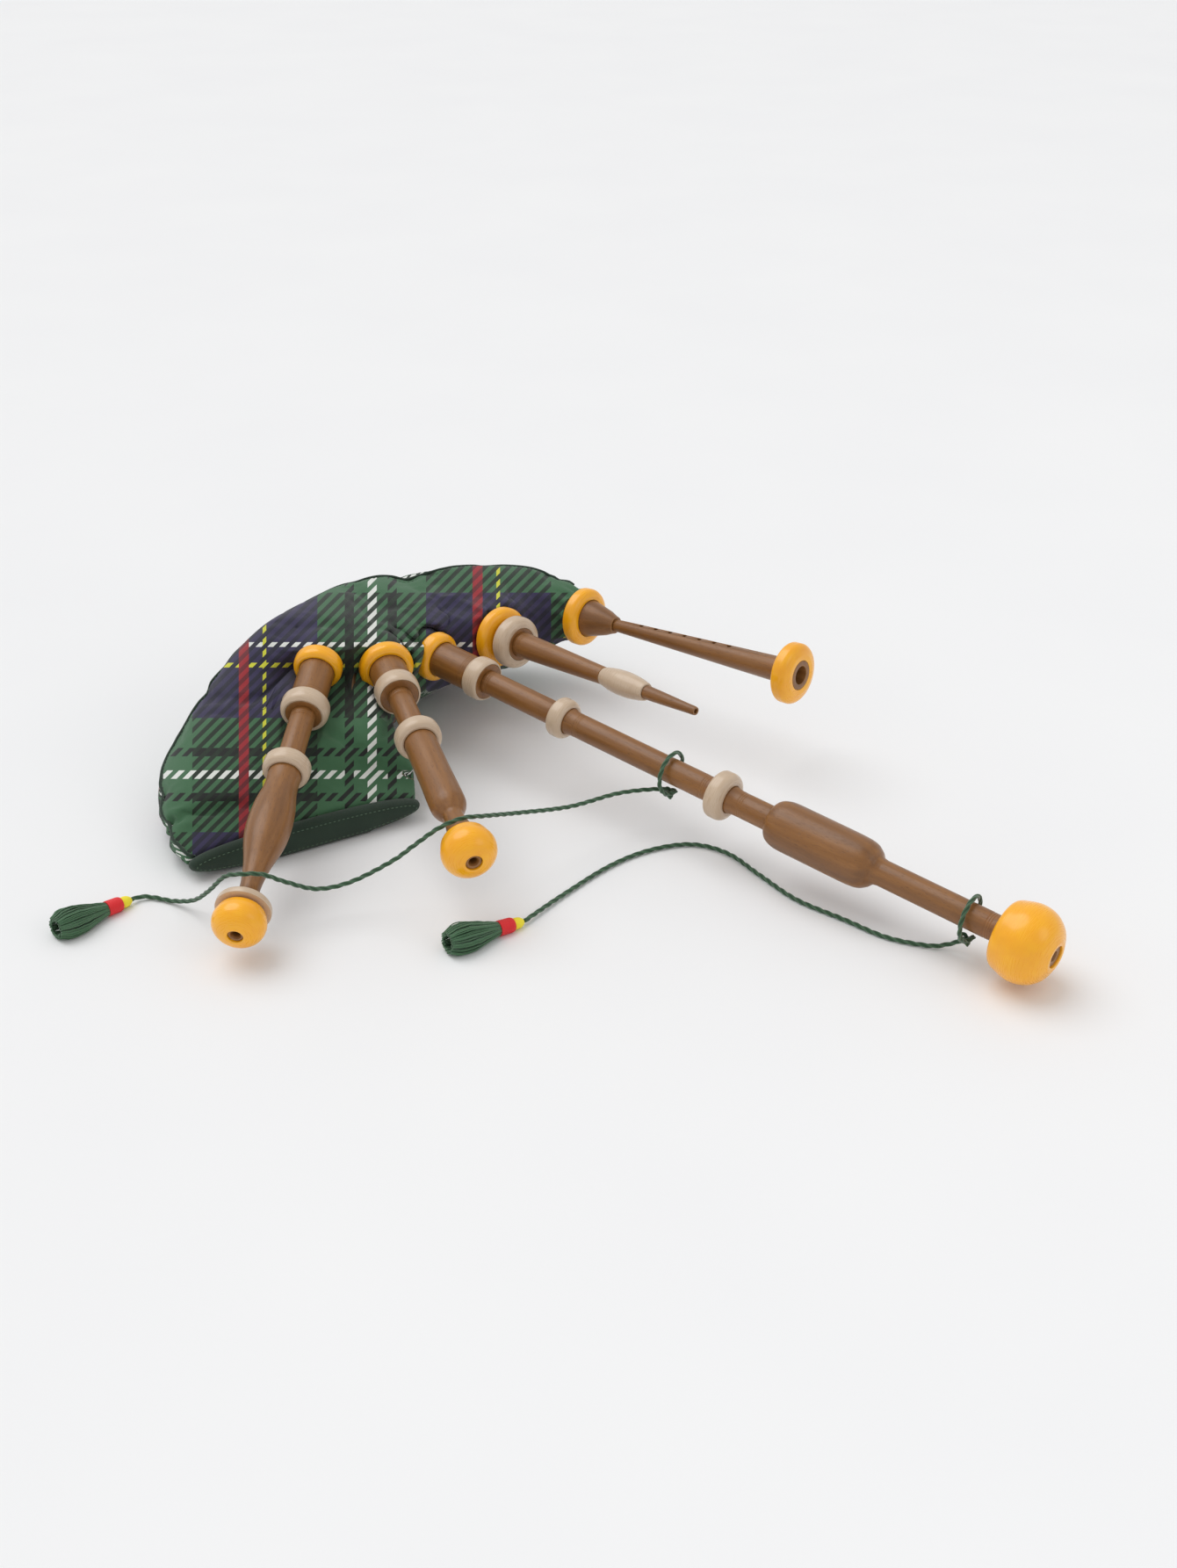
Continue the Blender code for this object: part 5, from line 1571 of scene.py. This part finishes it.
for band_colour, band_mask in ((weft_colour, weft_mask), (warp_colour, warp_mask)):
    shown = math_node(nodes, link, "MULTIPLY", band_mask, hatch)
    colour = colour_mix(nodes, link, shown, colour, band_colour)
woven = nodes.new("ShaderNodeGroup")
woven.node_tree = weave
woven.inputs["Pitch"].default_value = WEAVE_PITCH
link(cloth_vector, woven.inputs["Vector"])
# Where Shade is low the tartan darkens a little: uneven tone, and painted shade in the rib troughs
shaded = stretched(nodes, link, woven.outputs["Shade"], 0.35, 1.05, 0.15, 0.0)
colour = colour_mix(nodes, link, shaded, colour, (0.004, 0.006, 0.005, 1))
link(colour, shader.inputs["Base Color"])
relief = nodes.new("ShaderNodeBump")
relief.inputs["Distance"].default_value = 0.0003
relief.inputs["Strength"].default_value = 0.45
link(woven.outputs["Height"], relief.inputs["Height"])
link(relief.outputs["Normal"], shader.inputs["Normal"])
shader.inputs["Sheen Weight"].default_value = 0.12
shader.inputs["Sheen Roughness"].default_value = 0.5
cover.data.materials.clear()
cover.data.materials.append(tartan)
surface = BVHTree.FromObject(cover, bpy.context.evaluated_depsgraph_get())
wall = cover.modifiers.new("wall", "SOLIDIFY")
wall.thickness = COVER_WALL
wall.offset = -1
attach(cover, "bag")
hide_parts("bag_cover")

# Seam and trim -----------------------------------------------------------------------------------
# A thin piped cord of dark green cloth closes the two panels along the back, and a stitched band of
# the same cloth binds the bag's front edge.
PIPING_RADIUS = 0.0019
PIPING_STEP = 0.004
STITCH_GAP = 0.0052
STITCH_LENGTH = 0.0030
STITCH_RADIUS = 0.00045
STITCH_ASIDE = 0.0066
SEAM_RAY = 1.6

trim_cloth, nodes, link, shader = start_material("trim_cloth", 0.88)
where = nodes.new("ShaderNodeTexCoord")
woven = nodes.new("ShaderNodeGroup")
woven.node_tree = weave
woven.inputs["Pitch"].default_value = 0.0011
parts = made_node(nodes, link, "ShaderNodeSeparateXYZ", Vector=where.outputs["Object"]).outputs
along_trim = math_node(nodes, link, "MULTIPLY_ADD", parts["Y"], 0.5, parts["X"])
up_trim = math_node(nodes, link, "MULTIPLY_ADD", parts["Y"], 0.7, parts["Z"])
joined = made_node(nodes, link, "ShaderNodeCombineXYZ", X=along_trim, Y=up_trim)
link(joined.outputs["Vector"], woven.inputs["Vector"])
# The trim runs from TRIM_SHADE to TRIM_GREEN with Shade: uneven tone, and painted shade in the rib troughs
tone = stretched(nodes, link, woven.outputs["Shade"], 0.35, 1.0)
colour = colour_mix(nodes, link, tone, paint(*TRIM_SHADE), paint(*TRIM_GREEN))
link(colour, shader.inputs["Base Color"])
relief = nodes.new("ShaderNodeBump")
relief.inputs["Distance"].default_value = 0.0003
relief.inputs["Strength"].default_value = 0.5
link(woven.outputs["Height"], relief.inputs["Height"])
link(relief.outputs["Normal"], shader.inputs["Normal"])
shader.inputs["Sheen Weight"].default_value = 0.15
stitch_thread = thread_material("stitch_thread", (86, 112, 88), (40, 64, 44), 2600.0, 0.0002, 0.2)

stitch_tree = bpy.data.node_groups.new("stitch_row", "GeometryNodeTree")
add_socket(stitch_tree, "Geometry", "Geometry")
gap_socket = add_socket(stitch_tree, "Gap", "Float", STITCH_GAP)
stitch_length_socket = add_socket(stitch_tree, "Stitch Length", "Float", STITCH_LENGTH)
stitch_radius_socket = add_socket(stitch_tree, "Stitch Radius", "Float", STITCH_RADIUS)
stitch_thread_socket = add_socket(stitch_tree, "Thread", "Material")
add_socket(stitch_tree, "Geometry", "Geometry", output=True)
nodes = stitch_tree.nodes
link = stitch_tree.links.new
given = nodes.new("NodeGroupInput").outputs
line_curve = nodes.new("GeometryNodeMeshToCurve")
link(given["Geometry"], line_curve.inputs["Mesh"])
stations = nodes.new("GeometryNodeCurveToPoints")
stations.mode = "LENGTH"
link(line_curve.outputs["Curve"], stations.inputs["Curve"])
link(given["Gap"], stations.inputs["Length"])
bead_shape = nodes.new("GeometryNodeMeshUVSphere")
bead_shape.inputs["Segments"].default_value = 8
bead_shape.inputs["Rings"].default_value = 6
bead_shape.inputs["Radius"].default_value = 1.0
half_length = math_node(nodes, link, "MULTIPLY", given["Stitch Length"], 0.5)
stitch_size = made_node(nodes, link, "ShaderNodeCombineXYZ", X=given["Stitch Radius"],
                        Y=given["Stitch Radius"], Z=half_length)
stitches = nodes.new("GeometryNodeInstanceOnPoints")
link(stations.outputs["Points"], stitches.inputs["Points"])
link(bead_shape.outputs["Mesh"], stitches.inputs["Instance"])
link(stations.outputs["Rotation"], stitches.inputs["Rotation"])
link(stitch_size.outputs["Vector"], stitches.inputs["Scale"])
solid = nodes.new("GeometryNodeRealizeInstances")
link(stitches.outputs["Instances"], solid.inputs["Geometry"])
sewn = nodes.new("GeometryNodeSetMaterial")
link(solid.outputs["Geometry"], sewn.inputs["Geometry"])
link(given["Thread"], sewn.inputs["Material"])
link(sewn.outputs["Geometry"], nodes.new("NodeGroupOutput").inputs["Geometry"])


def stitch_row(name, path, closed=False):
    """A row of raised stitches along a path."""
    edges = [(step, step + 1) for step in range(len(path) - 1)]
    if closed:
        edges.append((len(path) - 1, 0))
    line_mesh = bpy.data.meshes.new("sewing_line")
    line_mesh.from_pydata([tuple(point) for point in path], edges, [])
    row = grown(name, line_mesh, stitch_tree,
                ((gap_socket, STITCH_GAP), (stitch_length_socket, STITCH_LENGTH),
                 (stitch_radius_socket, STITCH_RADIUS), (stitch_thread_socket, stitch_thread)))
    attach(row, "bag")


def round_tube(name, path, radius, sides=12):
    """A plain closed tube along a path."""
    points = []
    faces = []
    for (side, up), centre in zip(cross_frames(path), path):
        for step in range(sides):
            angle = math.tau * step / sides
            points.append(centre + (side * math.cos(angle) + up * math.sin(angle)) * radius)
    for ring in range(len(path) - 1):
        near = ring * sides
        for step in range(sides):
            after = (step + 1) % sides
            faces.append((near + step, near + after, near + sides + after, near + sides + step))
    faces.append(tuple(reversed(range(sides))))
    faces.append(tuple(range((len(path) - 1) * sides, len(path) * sides)))
    return mesh_of(name, points, faces)


seam_points = []
stitch_points = {-1: [], 1: []}
for index in range(2, SEAM_PLACES - 16, 3):
    middle, along, across, half_width, half_height = places[index]
    first, last = seam_angles(index)
    for aside, row in ((0.0, seam_points), (-STITCH_ASIDE, stitch_points[-1]),
                       (STITCH_ASIDE, stitch_points[1])):
        angle = first + aside / half_width
        side = across * math.cos(angle) * half_width + Vector((0, 0, math.sin(angle) * half_height))
        hit = surface.ray_cast(middle + side * SEAM_RAY, -side.normalized(), side.length * SEAM_RAY)
        if hit[0] is not None:
            lift = PIPING_RADIUS * 0.35 if row is seam_points else STITCH_RADIUS * 0.3
            row.append(hit[0] + hit[1] * lift)
piping = place_in_scene("seam_piping", round_tube("seam_piping", smooth_path(
    [tuple(point) for point in seam_points], PIPING_STEP), PIPING_RADIUS))
finished(piping, "bag", "trim_cloth", trim_cloth)
for turn, row in stitch_points.items():
    stitch_row("seam_stitches_" + ("lower" if turn < 0 else "upper"),
               smooth_path([tuple(point) for point in row], PIPING_STEP))

rings = []
for inset, advance in ((0.0030, -SEAT), (0.0006, -0.0010), (-0.0004, -0.0035), (0.0, -0.0070),
                       (0.0020, -0.0100), (0.0050, -0.0116), (0.0090, -0.0122), (0.0150, -0.0126)):
    rings.append(bag_ring(0.0, inset, advance, 96))
trim = place_in_scene("bound_front_edge", bag_loft("bound_front_edge", rings))
finished(trim, "bag", "trim_cloth", trim_cloth, "bag_trim")
stitch_row("front_edge_stitches", bag_ring(0.0, 0.0062, -0.0120, 160), True)

# Bladder -----------------------------------------------------------------------------------------
# The airtight oiled hide inside the cover, a smooth closed bag of the same outline.
BLADDER_INSET = 0.0190
BLADDER_GAP = 0.0060
BLADDER_RINGS = 48
BLADDER_CORNERS = 48
BLADDER_REACH = 0.020
SETTLING_PASSES = 3
rings = []
for step in range(BLADDER_RINGS):
    end_draw = {0: 0.010, BLADDER_RINGS - 1: -0.020}.get(step, 0.0)
    rings.append(bag_ring(step / (BLADDER_RINGS - 1), BLADDER_INSET, end_draw, BLADDER_CORNERS))
bladder = place_in_scene("hide_bladder", bag_loft("hide_bladder", rings))
for vertex in bladder.data.vertices:
    for name, pipe in PIPES.items():
        local = inverse[name] @ vertex.co
        if -0.06 < local.z < 0.10 and math.hypot(local.x, local.y) < pipe["collar"] + BLADDER_REACH:
            local.z = min(local.z, -STOCK_INSIDE - BLADDER_GAP)
            vertex.co = pipe["place"] @ local
    for _ in range(SETTLING_PASSES):
        spot, normal, _, _ = surface.find_nearest(vertex.co)
        outside = (vertex.co - spot).dot(normal)
        if outside > -BLADDER_GAP:
            vertex.co -= normal * (outside + BLADDER_GAP)
hide, nodes, link, shader = start_material("oiled_hide", 0.55)
where = nodes.new("ShaderNodeTexCoord")
cells = made_node(nodes, link, "ShaderNodeTexVoronoi", Vector=where.outputs["Object"], Scale=520.0)
cloud = made_node(nodes, link, "ShaderNodeTexNoise", Vector=where.outputs["Object"], Scale=30.0, Detail=4.0)
link(colour_mix(nodes, link, cloud.outputs["Fac"], paint(98, 70, 44), paint(142, 108, 74)),
     shader.inputs["Base Color"])
link(math_node(nodes, link, "MULTIPLY_ADD", cloud.outputs["Fac"], 0.3, 0.42), shader.inputs["Roughness"])
relief = nodes.new("ShaderNodeBump")
relief.inputs["Distance"].default_value = 0.0004
relief.inputs["Strength"].default_value = 0.5
link(cells.outputs["Distance"], relief.inputs["Height"])
link(relief.outputs["Normal"], shader.inputs["Normal"])
finished(bladder, "bag", "bladder_leather", hide, "bag_bladder")

# Reeds and valve ---------------------------------------------------------------------------------
# Cane drone reeds in the feet of the drones, each bound with thread, with a tongue that beats; a
# double reed on a brass staple in the chanter; and a leather flap valve on the blowpipe's foot.
dry_cane = hard_material("dry_cane", (222, 194, 122), (208, 176, 100), (170, 132, 66), (232, 210, 150),
                         0.3, True)
drawn_brass, nodes, link, shader = start_material("drawn_brass", 0.32)
where = nodes.new("ShaderNodeTexCoord")
haze = made_node(nodes, link, "ShaderNodeTexNoise", Vector=where.outputs["Object"], Scale=400.0, Detail=3.0)
link(colour_mix(nodes, link, haze.outputs["Fac"], paint(178, 136, 60), paint(216, 178, 98)),
     shader.inputs["Base Color"])
link(math_node(nodes, link, "MULTIPLY_ADD", haze.outputs["Fac"], 0.3, 0.2), shader.inputs["Roughness"])
shader.inputs["Metallic"].default_value = 1.0
REED_LENGTH = 0.056
REED_BORE = 0.0022
for name in ("bass", "left_tenor", "right_tenor"):
    end = PIPES[name]["mouth"] + SEAT - TENON_LENGTH + REED_SEAT
    start = end - REED_LENGTH
    outline = [(start, REED_RADIUS - 0.0003), (start + 0.002, REED_RADIUS)]
    outline += ridged(((end - 0.0130, REED_RADIUS), (end - 0.0102, REED_RADIUS)), 0.0006, 0.0002)
    outline += [(end, REED_RADIUS)]
    reed = lathe(name + "_cane_reed", outline, ((start, REED_BORE), (end, REED_BORE)), PIPES[name]["place"],
                 0.0003, 28, 1.7)
    finished(reed, name + "_bottom", "reed_cane", dry_cane, name + "_reed")
for node, finish in (("bass_reed_tongue", dry_cane), ("left_tenor_reed_tongue", dry_cane),
                     ("right_tenor_reed_tongue", dry_cane), ("chanter_reed_blades", dry_cane),
                     ("valve_flap", hide), ("chanter_reed_staple", drawn_brass)):
    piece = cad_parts[node]
    if not piece.data.materials:
        piece.data.materials.append(finish)
    for slot in piece.material_slots:
        slot.material = finish

# Sizes -------------------------------------------------------------------------------------------
low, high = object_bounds()
